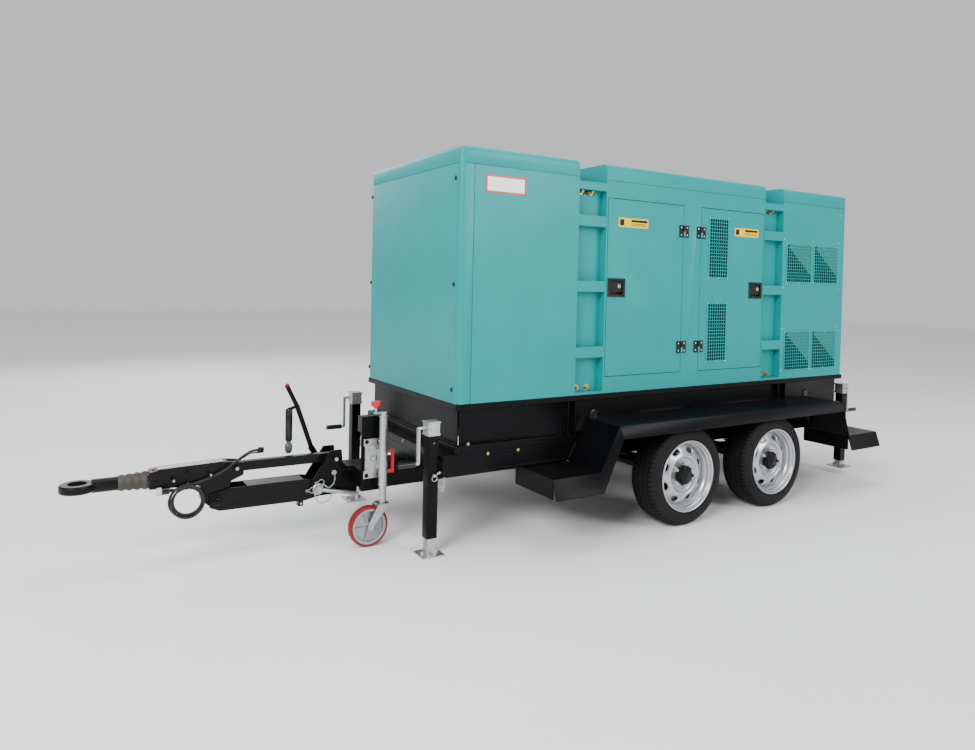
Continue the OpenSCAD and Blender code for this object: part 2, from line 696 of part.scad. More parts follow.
module rim_rear_right() color("silver") wheel_place(false, -1) rim_shape();

// ---------------------------------------------------------------- jacks
jack_cavity = jack_tube - 2 * jack_wall;
tube_bottom = [93, 103];
jack_top = 650;
cap_half = 34;
cap_top = 724;
shaft_z = 690;
shaft_r = 9;
crank_drop = 190;
elbow_x = 70;
crank_bar = [14, 18];
grip_r = 15;
grip_gap = 25;       // from the elbow to the grip
leg_l = 385;
leg_wall = 4;
gusset = [26, 6, 14];
foot_w = 130;
foot_t = 8;
module jack_body(front) {
    half = jack_tube / 2;
    low = tube_bottom[front ? 0 : 1];
    gap = front ? front_gap : rear_gap;
    difference() {
        union() {
            translate([-half, -half, low]) cube([jack_tube, jack_tube, jack_top - low]);
            translate([-cap_half, -cap_half, jack_top - 2])
                cube([2 * cap_half, 2 * cap_half, cap_top - jack_top + 2]);
        }
        translate([-jack_cavity / 2, -jack_cavity / 2, low - 1])
            cube([jack_cavity, jack_cavity, jack_top - low - 10]);
        translate([-half - 1, 0, jack_pivot_z]) rod_x(jack_pin_r + fit, jack_wall + 2);
        translate([0, 0, shaft_z]) rod_x(shaft_r + fit, cap_half + 10);
    }
}
module leg_body(front) {
    z0 = front ? 0 : rear_foot_z;
    difference() {
        translate([-jack_leg / 2, -jack_leg / 2, z0 + foot_t - e]) cube([jack_leg, jack_leg, leg_l]);
        translate([-jack_leg / 2 + leg_wall, -jack_leg / 2 + leg_wall, z0 + foot_t + 6])
            cube([jack_leg - 2 * leg_wall, jack_leg - 2 * leg_wall, leg_l]);
    }
    translate([-foot_w / 2, -foot_w / 2, z0]) cube([foot_w, foot_w, foot_t]);
    for (a = [0:90:270]) rotate([0, 0, a]) translate([jack_leg / 2 - e, -gusset[1] / 2, z0 + foot_t - e])
        cube(gusset);
}
module crank_body() translate([0, 0, shaft_z]) {
    translate([8, 0, 0]) rod_x(shaft_r, elbow_x + 6);
    translate([elbow_x, -crank_bar[1] / 2, -crank_drop]) cube([crank_bar[0], crank_bar[1], crank_drop]);
    translate([elbow_x + 2, 0, -crank_drop]) rod_x(shaft_r, grip_gap + 5);
    translate([elbow_x + grip_gap, 0, -crank_drop]) rod_x(grip_r, crank_reach - elbow_x - grip_gap);
}
module jack_front_left() color(black) jack_place(true, 1) jack_body(true);
module jack_rear_left() color(black) jack_place(false, 1) jack_body(false);
module jack_front_right() color(black) jack_place(true, -1) jack_body(true);
module jack_rear_right() color(black) jack_place(false, -1) jack_body(false);
module leg_front_left() color(zinc) jack_place(true, 1) leg_body(true);
module leg_rear_left() color(zinc) jack_place(false, 1) leg_body(false);
module leg_front_right() color(zinc) jack_place(true, -1) leg_body(true);
module leg_rear_right() color(zinc) jack_place(false, -1) leg_body(false);
module crank_front_left() color(zinc) jack_place(true, 1) crank_body();
module crank_rear_left() color(zinc) jack_place(false, 1) crank_body();
module crank_front_right() color(zinc) jack_place(true, -1) crank_body();
module crank_rear_right() color(zinc) jack_place(false, -1) crank_body();

// ---------------------------------------------------------------- jockey wheel
jockey_s = -275;
jockey_y = side_y - 335;
jockey_tube_r = 24;
jockey_tube_z = [330, 720];
jockey_bore_r = 20.5;
jockey_leg_r = 20.45;
jockey_wheel_d = 225;
jockey_trail = 83;           // the wheel's axle stands this far ahead of the tube
jockey_hub_z = jockey_wheel_d / 2;
fork_pin_r = 12;
fork_pin_h = 24;
axle_r = 8;
swing_plate_y = tower_y + 18 + slip;
swing_plate_s = [-365, -257];
swing_plate_z = [400, 550];
swing_plate_t = 12;
handle_s = [-226, -211];     // bar of the swivel lock's handle
handle_z = [396, 524];
handle_half = 8;
handle_arm_s = -252;
knob_x = 46;
knob_r = 29;
module jockey_tube() color(zinc) {
    difference() {
        union() {
            put(jockey_s, jockey_y, jockey_tube_z[0])
                cylinder(r = jockey_tube_r, h = jockey_tube_z[1] - jockey_tube_z[0]);
            block(swing_plate_s[0], swing_plate_s[1], swing_plate_y, swing_plate_y + swing_plate_t,
                swing_plate_z[0], swing_plate_z[1]);
            block(-300, swing_plate_s[1], swing_plate_y + swing_plate_t - 1, jockey_y - 10,
                swing_plate_z[0] + 20, swing_plate_z[1] - 20);
        }
        put(jockey_s, jockey_y, jockey_tube_z[0] - 1)
            cylinder(r = jockey_bore_r, h = jockey_tube_z[1] - jockey_tube_z[0] - 6);
        put(jockey_s, jockey_y, jockey_tube_z[1] - 20) cylinder(r = axle_r + fit, h = 30);
        put(swing_pivot[0], swing_plate_y - 1, swing_pivot[1]) rod_y(swing_pin_r + fit, 14);
    }
    // Handle of the swivel lock
    block(handle_s[0], handle_s[1], jockey_y - handle_half, jockey_y + handle_half, handle_z[0], handle_z[1]);
    for (z = [handle_z[0], handle_z[1] - 15])
        block(handle_arm_s, handle_s[1] - 1, jockey_y - handle_half, jockey_y + handle_half, z, z + 15);
}
module jockey_leg() color(zinc) put(jockey_s, jockey_y, 0) difference() {
    translate([0, 0, 234]) cylinder(r = jockey_leg_r, h = 310);
    translate([0, 0, 233]) cylinder(r = fork_pin_r + fit, h = fork_pin_h - 4);
    translate([0, 0, 290]) cylinder(r = 16, h = 300);
}
module jockey_fork() color(zinc) put(jockey_s, jockey_y, 0) {
    translate([0, 0, 226]) cylinder(r = fork_pin_r, h = fork_pin_h);
    translate([0, 0, 226]) cylinder(r = 30, h = 7);
    difference() {
        union() for (y = [-1, 1]) {
            translate([-32, y > 0 ? 33 : -38, 215]) cube([70, 5, 18]);
            translate([0, y > 0 ? 38 : -33, 0]) rotate([90, 0, 0]) linear_extrude(5)
                polygon([[-32, 233], [38, 233], [jockey_trail + 18, jockey_hub_z], [jockey_trail,
                    jockey_hub_z - 18],
                    [jockey_trail - 18, jockey_hub_z]]);
        }
        translate([jockey_trail, -50, jockey_hub_z]) rod_y(axle_r + fit, 100);
    }
    translate([-32, -38, 226]) cube([70, 76, 7]);
    translate([jockey_trail, -42, jockey_hub_z]) rod_y(axle_r + fit + e, 84);
}
module jockey_wheel() color("firebrick") put(jockey_s - jockey_trail, jockey_y, jockey_hub_z) difference() {
    turned() {
        translate([axle_r + 2 * fit + e, -28]) square([14, 56]);
        translate([20, -8]) square([64, 16]);
        translate([78, -24]) square([16, 48]);
        translate([88, -25]) square([jockey_wheel_d / 2 - 98, 50]);
        translate([jockey_wheel_d / 2 - 12, -13]) square([12, 26]);
        for (y = [-1, 1]) translate([jockey_wheel_d / 2 - 12, y * 13]) circle(12);
    }
    for (a = [36:72:324]) rotate([0, a, 0]) translate([0, -30, 52]) rod_y(16, 60);
}
module jockey_crank() color(zinc) put(jockey_s, jockey_y, 0) {
    translate([0, 0, jockey_tube_z[1] - 8]) cylinder(r = axle_r, h = 30);
    translate([0, 0, jockey_tube_z[1] + slip]) cylinder(r = 20, h = 20);
    translate([-8, -10, jockey_tube_z[1] + 14]) cube([knob_x + 20, 20, 8]);
    translate([knob_x, 0, jockey_tube_z[1] + 20]) cylinder(r = 7, h = 30);
    translate([knob_x, 0, jockey_tube_z[1] + 48]) cylinder(r = 15, h = 12);
    translate([knob_x, 0, jockey_tube_z[1] + 59]) cylinder(r = knob_r, h = 24);
}

// ---------------------------------------------------------------- drawbar
arm_wall = 6;
arm_front_s = -1150;
arm_rear_s = -545;
module drawbar_arm() color(black) {
    low = [[arm_front_s, 262], [-1100, 240], [-640, 232], [arm_rear_s, 250]];
    high = [[arm_rear_s, 335], [-640, 352], [-1040, 356], [arm_front_s, 330]];
    difference() {
        union() {
            both_sides() plate(concat(low, high), arm_half - arm_wall, arm_half);
            plate([[-1000, 242], [-650, 234], [-650, 240], [-1000, 248]], -arm_half + e, arm_half - e);
            plate([[-960, 350], [-650, 346], [-650, 352], [-960, 356]], -arm_half + e, arm_half - e);
        }
        put(arm_rear[0], -arm_half - 1, arm_rear[1]) rod_y(pivot_r + 2 * fit + e, 2 * arm_half + 2);
    }
    put(arm_front[0], -arm_half - 14, arm_front[1]) rod_y(pivot_r, 2 * arm_half + 28);
    both_sides() put(arm_front[0], arm_half - e, arm_front[1]) rod_y(32, 10);
}
head_half = 45;
eye_tube_r = 25;
eye_s = -drawbar_reach + eye_d / 2;
head_front_s = -1436;
slot_half = 23;
module overrun_head() color(black) {
    difference() {
        plate([[head_front_s, 392], [head_front_s, 478], [-1400, 486], [-1060, 494], [-975, 482],
            [-975, 415],
            [-1040, 388], [-1060, 300], [-1085, 264], [-1145, 264], [-1185, 300], [-1195, 385]],
                -head_half, head_half);
        put(-1150, 0, eye_z) rod_x(eye_tube_r + fit, 400);
        put(arm_front[0], -head_half - 1, arm_front[1]) rod_y(pivot_r + fit, 2 * head_half + 2);
        block(-1056, -970, -slot_half, slot_half, 380, 500);
    }
    put(link_front[0], -head_half - 8, link_front[1]) rod_y(pivot_r, 2 * head_half + 16);
    // Strap that reaches back over the link and carries the cable's gland
    plate([[-1010, 484], [-940, 521], [gland_s, 521], [gland_s, 526], [-941, 526], [-1010, 492]],
        gland_y - 12, gland_y + 12);
    put(gland_s, gland_y, gland_z) rod_x(13, 22);
    // Pegs that the cable hangs on
    for (p = peg_points) put(p[0], head_half - e, p[1]) rod_y(6, 34);
}
gland_s = -868;
gland_y = 26;
gland_z = 537;
peg_points = [[-1328, 433], [-1149, 442]];
module tow_eye() color(black) {
    difference() {
        put(eye_s, 0, eye_z) rotate_extrude($fn = 96) {
            translate([eye_bore / 2, -15]) square([20, 30]);
            translate([eye_bore / 2 + 5, -20]) square([eye_d / 2 - eye_bore / 2 - 15, 40]);
            translate([eye_d / 2 - 18, -10]) square([18, 20]);
            for (z = [-10, 10]) translate([eye_d / 2 - 10, z]) circle(10);
        }
        put(eye_s, 0, eye_z - 30) cylinder(r = eye_bore / 2, h = 60, $fn = 96);
    }
    put(-1579, 0, eye_z) rod_x(34, 112);
    put(-1230, 0, eye_z) rod_x(eye_tube_r, 350);
}
bellows_s = [-1578, -1437];
bellows_rings = 4;
bellows_wall = 3;
bellows_pitch = (bellows_s[1] - bellows_s[0]) / bellows_rings;
// Radius grows towards the housing
function bellows_r(i, out) = 34 + i * 1.8 + (out ? 8 : 0);
bellows_outer = [for (i = [0:bellows_rings - 1], j = [0, 1]) [bellows_r(i, j == 1),
    (i + j / 2) * bellows_pitch]];
module bellows() color("gray") put(bellows_s[1] - slip, 0, eye_z) rotate([0, 90, 0]) rotate_extrude()
    polygon(concat([for (p = bellows_outer) [p[0], bellows_s[1] - bellows_s[0] - 2 * slip - p[1]]],
        [[bellows_r(4, false), 0]],
        [[bellows_r(4, false) - bellows_wall, 0]],
        [for (i = [len(bellows_outer) - 1:-1:0])
            [bellows_outer[i][0] - bellows_wall,
                bellows_s[1] - bellows_s[0] - 2 * slip - bellows_outer[i][1]]]));
module drawbar_link() color(black) difference() {
    bar(link_rear, link_front, 50, -20, 20);
    put(link_rear[0], -21, link_rear[1]) rod_y(pivot_r + 2 * fit + e, 42);
    put(link_front[0], -21, link_front[1]) rod_y(pivot_r + 2 * fit, 42);
}
lever_knee = [-562, 490];
lever_bend = [-650, 740];
lever_top = [-708, 857];
strut_s = -696;
strut_z = [473, 727];
module brake_lever() color(black) {
    y = (lever_y[0] + lever_y[1]) / 2;
    difference() {
        union() {
            bar(lever_pivot, lever_knee, 34, lever_y[0], lever_y[1]);
            bar(lever_knee, lever_bend, 26, lever_y[0], lever_y[1]);
            bar(lever_bend, lever_top, 24, lever_y[0], lever_y[1]);
            bar(lever_bend, [strut_s, strut_z[1]], 16, lever_y[0], lever_y[1]);
        }
        put(lever_pivot[0], lever_y[0] - 1, lever_pivot[1]) rod_y(8 + fit, 20);
    }
    put(lever_top[0], y, lever_top[1] - 8) cylinder(r = 9, h = 26);
    // Gas strut hanging from the lever
    put(strut_s, y, strut_z[0]) cylinder(r = 13, h = 140);
    put(strut_s, y, strut_z[0] + 139) cylinder(r = 17, h = strut_z[1] - strut_z[0] - 139);
}

// ---------------------------------------------------------------- trailer cable
cable_r = 6.5;
coil_centre = [-1262, 316];
coil_y = head_half + 25;
coil_r = 80;
coil_half = 15;
plug_s = [-1405, -1347];
plug_z = 383;
cable_route = [[-890, 26, 537], [-912, 28, 537], [-935, 33, 535], [-958, 40, 528], [-982, 49, 516],
    [-1006, 58, 503], [-1032, 65, 487], [-1060, 70, 469], [-1088, 72, 452], [-1116, 72, 438], [-1145,
        70, 427],
    [-1174, 70, 418], [-1202, 70, 410], [-1226, 70, 403], [-1246, 70, 398]];
cable_sides = 8;
function unit(v) = v / norm(v);
function point(i) = [at(cable_route[i][0]), cable_route[i][1], cable_route[i][2]];
function tangent(i) = unit(point(min(i + 1, len(cable_route) - 1)) - point(max(i - 1, 0)));
function ring(i) = let (t = tangent(i), a = unit(cross(t, [0.1, 0.2, 0.97])), b = cross(t, a))
    [for (k = [0:cable_sides - 1])
        point(i) + cable_r * (cos(k * 360 / cable_sides) * a + sin(k * 360 / cable_sides) * b)];
module cable() color(black) {
    n = len(cable_route);
    polyhedron(
        points = [for (i = [0:n - 1]) each ring(i)],
        faces = concat([[for (k = [0:cable_sides - 1]) cable_sides - 1 - k]],
            [for (i = [0:n - 2], k = [0:cable_sides - 1]) let (k2 = (k + 1) % cable_sides)
                [i * cable_sides + k, i * cable_sides + k2, (i + 1) * cable_sides + k2,
                    (i + 1) * cable_sides + k]],
            [[for (k = [0:cable_sides - 1]) (n - 1) * cable_sides + k]]));
}
module cable_coil() color(black) put(coil_centre[0], coil_y, coil_centre[1])
    rotate([90, 0, 0]) rotate_extrude() translate([coil_r, 0]) circle(coil_half);
module cable_plug() color("beige") put(plug_s[1], coil_y, plug_z) {
    rod_x(17, 38);
    translate([37, 0, 0]) rod_x(21, 22);
    translate([-18, 0, 0]) rod_x(9, 19);
}

chassis_frame();
spine_beam();
base_frame();
fuel_tank();
canopy_front();
canopy_middle();
canopy_rear();
lifting_columns();
engine();
alternator();
radiator();
silencer();
battery();
control_cabinet();
mudguards();
leaf_springs();
axles();
tyre_front_left();
tyre_rear_left();
tyre_front_right();
tyre_rear_right();
rim_front_left();
rim_rear_left();
rim_front_right();
rim_rear_right();
jack_front_left();
jack_rear_left();
jack_front_right();
jack_rear_right();
leg_front_left();
leg_rear_left();
leg_front_right();
leg_rear_right();
crank_front_left();
crank_rear_left();
crank_front_right();
crank_rear_right();
door_front_left();
door_rear_left();
door_front_right();
door_rear_right();
latch_front_left();
latch_rear_left();
latch_front_right();
latch_rear_right();
rear_door();
jockey_tube();
jockey_leg();
jockey_fork();
jockey_wheel();
jockey_crank();
drawbar_arm();
overrun_head();
tow_eye();
bellows();
drawbar_link();
brake_lever();
cable();
cable_coil();
cable_plug();
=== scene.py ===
# Looks of the towable diesel generator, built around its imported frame.
# Lengths are in millimetres, and MM turns them into Blender's metres. A station s is a distance back from the
# canopy's front face, as in the part's own source. sg is 1 on the left side and -1 on the right.
import json
import math

import bmesh
import bpy
from mathutils import Matrix, Vector


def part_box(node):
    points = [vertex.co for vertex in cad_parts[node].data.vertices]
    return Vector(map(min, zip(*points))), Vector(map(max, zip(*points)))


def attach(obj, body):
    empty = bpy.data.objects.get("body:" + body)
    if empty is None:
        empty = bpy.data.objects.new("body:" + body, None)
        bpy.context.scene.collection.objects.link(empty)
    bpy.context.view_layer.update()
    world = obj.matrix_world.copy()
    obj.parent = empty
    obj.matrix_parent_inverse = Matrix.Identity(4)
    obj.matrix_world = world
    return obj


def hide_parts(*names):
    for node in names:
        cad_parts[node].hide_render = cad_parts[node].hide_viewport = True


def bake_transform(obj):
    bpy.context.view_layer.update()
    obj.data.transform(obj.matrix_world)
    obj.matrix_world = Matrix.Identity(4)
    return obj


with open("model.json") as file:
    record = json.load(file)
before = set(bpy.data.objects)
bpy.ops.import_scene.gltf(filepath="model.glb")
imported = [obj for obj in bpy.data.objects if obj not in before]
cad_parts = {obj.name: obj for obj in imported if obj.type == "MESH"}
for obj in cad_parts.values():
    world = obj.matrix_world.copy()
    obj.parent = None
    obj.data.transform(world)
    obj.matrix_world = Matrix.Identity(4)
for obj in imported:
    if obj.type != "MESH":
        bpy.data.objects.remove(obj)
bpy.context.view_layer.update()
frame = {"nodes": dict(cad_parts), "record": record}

MM = 0.001
FRONT_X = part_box("canopy_front")[1].x / MM
SIDE_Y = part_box("canopy_front")[1].y / MM


def P(s, y, z):
    """Point from a station, an offset and a height."""
    return Vector((FRONT_X - s, y, z)) * MM


# ------------------------------------------------------------------ camera
CAMERA_AT = P(-1887, SIDE_Y + 3404, 1472)
YAW, PITCH, ROLL = math.radians(31.963), math.radians(1.179), math.radians(1.251)
FOCAL = 36 * 720.5 / 975


def make_camera():
    data = bpy.data.cameras.new("camera")
    data.sensor_width = 36
    data.lens = FOCAL
    data.shift_x = -0.0082
    data.shift_y = -0.0782
    cam = bpy.data.objects.new("camera", data)
    bpy.context.scene.collection.objects.link(cam)
    forward = Vector((-math.sin(YAW) * math.cos(PITCH), -math.cos(YAW) * math.cos(PITCH), -math.sin(PITCH)))
    turn = forward.to_track_quat("-Z", "Y").to_matrix().to_4x4() @ Matrix.Rotation(ROLL, 4, "Z")
    cam.matrix_world = Matrix.Translation(CAMERA_AT) @ turn
    bpy.context.scene.camera = cam


make_camera()


# ------------------------------------------------------------------ materials
def material(name, color, rough=0.5, metal=0.0, mottle=0.06, grain=60.0, bump=0.15, bump_scale=400.0,
             uneven=0.05, dust=0.0, spangle=0.0, coat=0.0, spec=0.5):
    """Procedural finish: mottled colour, uneven roughness, fine grain, and dust on the upper faces."""
    m = bpy.data.materials.new(name)
    m.use_nodes = True
    tree = m.node_tree
    nodes, links = tree.nodes, tree.links
    shader = nodes["Principled BSDF"]
    shader.inputs["Metallic"].default_value = metal
    shader.inputs["Coat Weight"].default_value = coat
    shader.inputs["Specular IOR Level"].default_value = spec
    place = nodes.new("ShaderNodeTexCoord").outputs["Object"]

    def noise(scale, detail=4.0):
        n = nodes.new("ShaderNodeTexNoise")
        n.inputs["Scale"].default_value = scale
        n.inputs["Detail"].default_value = detail
        links.new(place, n.inputs["Vector"])
        return n.outputs["Fac"]

    def ramp(source, low, high, a, b):
        r = nodes.new("ShaderNodeMapRange")
        r.inputs["From Min"].default_value = low
        r.inputs["From Max"].default_value = high
        r.inputs["To Min"].default_value = a
        r.inputs["To Max"].default_value = b
        links.new(source, r.inputs["Value"])
        return r.outputs["Result"]

    def mix(factor, a, b):
        x = nodes.new("ShaderNodeMix")
        x.data_type = "RGBA"
        links.new(factor, x.inputs["Factor"])
        for socket, value in (("A", a), ("B", b)):
            target = [i for i in x.inputs if i.name == socket and i.type == "RGBA"][0]
            if isinstance(value, tuple):
                target.default_value = (*value, 1)
            else:
                links.new(value, target)
        return [o for o in x.outputs if o.type == "RGBA"][0]

    dark = tuple(c * (1 - mottle) for c in color)
    light = tuple(min(1, c * (1 + mottle)) for c in color)
    tint = mix(ramp(noise(3.0, 6.0), 0.3, 0.7, 0, 1), dark, light)
    if spangle:
        cells = nodes.new("ShaderNodeTexVoronoi")
        cells.inputs["Scale"].default_value = 90
        links.new(place, cells.inputs["Vector"])
        grey = nodes.new("ShaderNodeSeparateColor")
        links.new(cells.outputs["Color"], grey.inputs["Color"])
        tint = mix(ramp(grey.outputs["Red"], 0, 1, 0, spangle), tint, tuple(c * 0.55 for c in color))
    if dust:
        normal = nodes.new("ShaderNodeSeparateXYZ")
        links.new(nodes.new("ShaderNodeNewGeometry").outputs["Normal"], normal.inputs["Vector"])
        upward = ramp(normal.outputs["Z"], 0.3, 1.0, 0.15, 1.0)
        patchy = ramp(noise(9.0, 8.0), 0.35, 0.75, 0.0, dust)
        both = nodes.new("ShaderNodeMath")
        both.operation = "MULTIPLY"
        links.new(upward, both.inputs[0])
        links.new(patchy, both.inputs[1])
        tint = mix(both.outputs[0], tint, (0.22, 0.20, 0.17))
    links.new(tint, shader.inputs["Base Color"])
    links.new(ramp(noise(grain, 5.0), 0.3, 0.7, max(rough - uneven, 0.02), min(rough + uneven, 1)),
              shader.inputs["Roughness"])
    relief = nodes.new("ShaderNodeBump")
    relief.inputs["Strength"].default_value = bump
    relief.inputs["Distance"].default_value = 0.001
    links.new(noise(bump_scale, 3.0), relief.inputs["Height"])
    links.new(relief.outputs["Normal"], shader.inputs["Normal"])
    return m


TEAL = material("teal_powder_coat", (0.001, 0.262, 0.262), 0.36, bump=0.10, bump_scale=700, mottle=0.045,
                dust=0.012, spec=0.26)
BLACK = material("black_paint", (0.0030, 0.0032, 0.0038), 0.30, bump=0.08, bump_scale=500, uneven=0.03,
                 mottle=0.2, dust=0.008, spec=0.10)
CAST = material("black_cast_iron", (0.0035, 0.0035, 0.004), 0.33, bump=0.3, bump_scale=220, mottle=0.3,
                dust=0.010, spec=0.16)
GLOSS = material("black_gloss", (0.004, 0.004, 0.0045), 0.12, bump=0.5, bump_scale=60, mottle=0.3, spec=0.6)
ZINC = material("galvanised_steel", (0.52, 0.53, 0.53), 0.36, metal=0.9, spangle=0.3, bump=0.012,
                bump_scale=150, mottle=0.08)
SILVER = material("silver_rim_paint", (0.48, 0.49, 0.51), 0.33, metal=0.8, bump=0.002, bump_scale=60,
                  uneven=0.015, mottle=0.02)
TYRE = material("tyre_rubber", (0.0075, 0.0075, 0.008), 0.62, bump=0.3, bump_scale=350, mottle=0.2,
                dust=0.018, spec=0.15)
RUBBER = material("black_rubber", (0.006, 0.006, 0.006), 0.6, bump=0.15, mottle=0.2, spec=0.3)
SHEATH = material("cable_sheath", (0.007, 0.007, 0.0075), 0.4, bump=0.1, mottle=0.2, dust=0.03, spec=0.4)
BELLOWS = material("bellows_rubber", (0.034, 0.028, 0.020), 0.6, bump=0.25, mottle=0.25, dust=0.2)
PLASTIC = material("black_plastic", (0.005, 0.005, 0.0055), 0.28, bump=0.1, bump_scale=900, mottle=0.1,
                   spec=0.4)
RED_TREAD = material("red_polyurethane", (0.22, 0.012, 0.012), 0.5, bump=0.15, mottle=0.2, dust=0.03,
                     spec=0.3)
RED = material("red_plastic", (0.46, 0.012, 0.014), 0.32, bump=0.05, mottle=0.08)
CASTING = material("grey_casting", (0.36, 0.37, 0.40), 0.42, metal=0.7, bump=0.3, bump_scale=260, mottle=0.12)
BRASS = material("yellow_zinc", (0.55, 0.41, 0.16), 0.32, metal=1.0, bump=0.08, mottle=0.12)
STEEL = material("bright_steel", (0.62, 0.62, 0.62), 0.25, metal=1.0, bump=0.1, mottle=0.1)
CREAM = material("cream_plastic", (0.60, 0.55, 0.42), 0.45, bump=0.08, mottle=0.06)
YELLOW = material("yellow_label", (0.95, 0.58, 0.0), 0.42, spec=0.15, bump=0.03, mottle=0.04)
WHITE = material("white_label", (0.92, 0.92, 0.91), 0.38, bump=0.03, mottle=0.03)
FOAM = material("sound_lining", (0.004, 0.004, 0.0045), 0.95, bump=0.9, bump_scale=120, mottle=0.3, spec=0.15)
# Darker copy of the teal: painted light and shade on the backing behind the outlet grilles
SHADE = material("painted_shade_teal_sheet", (0.012, 0.14, 0.13), 0.5, bump=0.1, mottle=0.08)
GREY_TUBE = material("grey_strut", (0.07, 0.09, 0.12), 0.32, metal=0.3, bump=0.06, mottle=0.1)
IRON_Y = material("engine_paint", (0.40, 0.28, 0.04), 0.42, bump=0.4, bump_scale=200, mottle=0.15, dust=0.12)
IRON_G = material("alternator_paint", (0.03, 0.14, 0.07), 0.42, bump=0.35, bump_scale=200, mottle=0.15)
CORE = material("radiator_fins", (0.04, 0.04, 0.045), 0.4, metal=0.6, bump=1.0, bump_scale=300, mottle=0.2)
CABINET = material("cabinet_paint", (0.42, 0.43, 0.42), 0.4, bump=0.12, bump_scale=700, mottle=0.04)
GLASS = material("smoked_window", (0.012, 0.018, 0.02), 0.08, bump=0.01, mottle=0.05, coat=0.5)


# ------------------------------------------------------------------ mesh kit
def prof(*pairs):
    return [(r * MM, a * MM) for r, a in pairs]


class Build:
    """Collects solids in one mesh, each with its own material."""

    def __init__(self, name):
        self.name = name
        self.bm = bmesh.new()
        self.mats = []

    def index(self, mat):
        if mat not in self.mats:
            self.mats.append(mat)
        return self.mats.index(mat)

    def paint(self, faces, mat):
        k = self.index(mat)
        for f in faces:
            f.material_index = k

    def box(self, lo, hi, mat):
        made = bmesh.ops.create_cube(self.bm, size=1.0)["verts"]
        lo, hi = Vector(lo), Vector(hi)
        size, mid = hi - lo, (hi + lo) / 2
        for v in made:
            v.co = Vector((v.co.x * size.x, v.co.y * size.y, v.co.z * size.z)) + mid
        self.paint({f for v in made for f in v.link_faces}, mat)

    def prism(self, outline, offset, mat):
        """Outline is a ring of points; offset is the way it is extruded."""
        low = [self.bm.verts.new(p) for p in outline]
        high = [self.bm.verts.new(Vector(p) + Vector(offset)) for p in outline]
        n = len(outline)
        faces = [self.bm.faces.new(low), self.bm.faces.new(list(reversed(high)))]
        faces += [self.bm.faces.new((low[(i + 1) % n], low[i], high[i], high[(i + 1) % n])) for i in range(n)]
        self.paint(faces, mat)

    def lathe(self, profile, origin, axis, mat, seg=48, closed=False):
        """Turns (radius, distance along axis) points about an axis. Open ends on the axis are capped."""
        axis = Vector(axis).normalized()
        frame_m = axis.to_track_quat("Z", "Y").to_matrix()
        origin = Vector(origin)
        rings = []
        for r, a in profile:
            if r < 1e-7:
                rings.append([self.bm.verts.new(origin + axis * a)])
            else:
                rings.append([self.bm.verts.new(origin + frame_m @ Vector((
                    r * math.cos(2 * math.pi * k / seg), r * math.sin(2 * math.pi * k / seg), a)))
                    for k in range(seg)])
        if closed:
            rings.append(rings[0])
        faces = []
        for a, b in zip(rings, rings[1:]):
            for k in range(seg):
                j = (k + 1) % seg
                quad = [a[k % len(a)], a[j % len(a)], b[j % len(b)], b[k % len(b)]]
                quad = [v for i, v in enumerate(quad) if v not in quad[:i]]
                if len(quad) > 2:
                    faces.append(self.bm.faces.new(quad))
        self.paint(faces, mat)

    def rod(self, a, b, r, mat, seg=32, chamfer=0.0):
        a, b = Vector(a), Vector(b)
        l = (b - a).length
        c = min(chamfer, r * 0.6, l / 3)
        self.lathe([(0, 0), (r - c, 0), (r, c), (r, l - c), (r - c, l), (0, l)] if c else
                   [(0, 0), (r, 0), (r, l), (0, l)], a, b - a, mat, seg)

    def tube(self, points, r, mat, seg=12, loop=False):
        """Round bar along points."""
        pts = [Vector(p) for p in points]
        n = len(pts)
        rings = []
        side = None
        for i, p in enumerate(pts):
            before = pts[(i - 1) % n] if loop or i > 0 else p
            after = pts[(i + 1) % n] if loop or i < n - 1 else p
            t = (after - before).normalized()
            if side is None:
                side = t.orthogonal().normalized()
            side = (side - t * side.dot(t)).normalized()
            up = t.cross(side)
            turns = [2 * math.pi * k / seg for k in range(seg)]
            rings.append([self.bm.verts.new(p + r * (math.cos(a) * side + math.sin(a) * up)) for a in turns])
        pairs = list(zip(rings, rings[1:])) + ([(rings[-1], rings[0])] if loop else [])
        faces = []
        for a, b in pairs:
            shift = 0
            if loop and a is rings[-1]:
                shift = min(range(seg), key=lambda k: (a[0].co - b[k].co).length)
            for k in range(seg):
                faces.append(self.bm.faces.new((a[k], a[(k + 1) % seg], b[(k + 1 + shift) % seg],
                                                b[(k + shift) % seg])))
        if not loop:
            faces += [self.bm.faces.new(list(reversed(rings[0]))), self.bm.faces.new(rings[-1])]
        self.paint(faces, mat)

    def hex_bolt(self, at, axis, size, mat, washer=None, height=0.6):
        """Hexagon head on a washer; size is the width over the corners."""
        axis = Vector(axis).normalized()
        at = Vector(at)
        if washer:
            self.rod(at, at + axis * size * 0.12, size * 0.78, washer, 24)
            at = at + axis * size * 0.12
        h = size * height
        self.lathe([(0, 0), (size / 2, 0), (size / 2, h * 0.8), (size * 0.42, h), (0, h)], at, axis, mat, 6)
        self.rod(at + axis * h, at + axis * h * 1.5, size * 0.24, mat, 12)

    def dome(self, at, axis, r, mat, h=0.35):
        """Low domed screw head."""
        steps = 4
        curve = [(r * math.cos(math.pi / 2 * i / steps), r * h * math.sin(math.pi / 2 * i / steps))
                 for i in range(steps)]
        self.lathe([(0, 0)] + curve + [(0, r * h)], at, axis, mat, 16)

    def done(self, body, bevel=0.0):
        """Turns the gathered shapes into one piece that rides on a body."""
        bmesh.ops.recalc_face_normals(self.bm, faces=self.bm.faces)
        mesh = bpy.data.meshes.new(self.name)
        self.bm.to_mesh(mesh)
        self.bm.free()
        for m in self.mats:
            mesh.materials.append(m)
        return finish_piece(self.name, mesh, body, bevel=bevel)


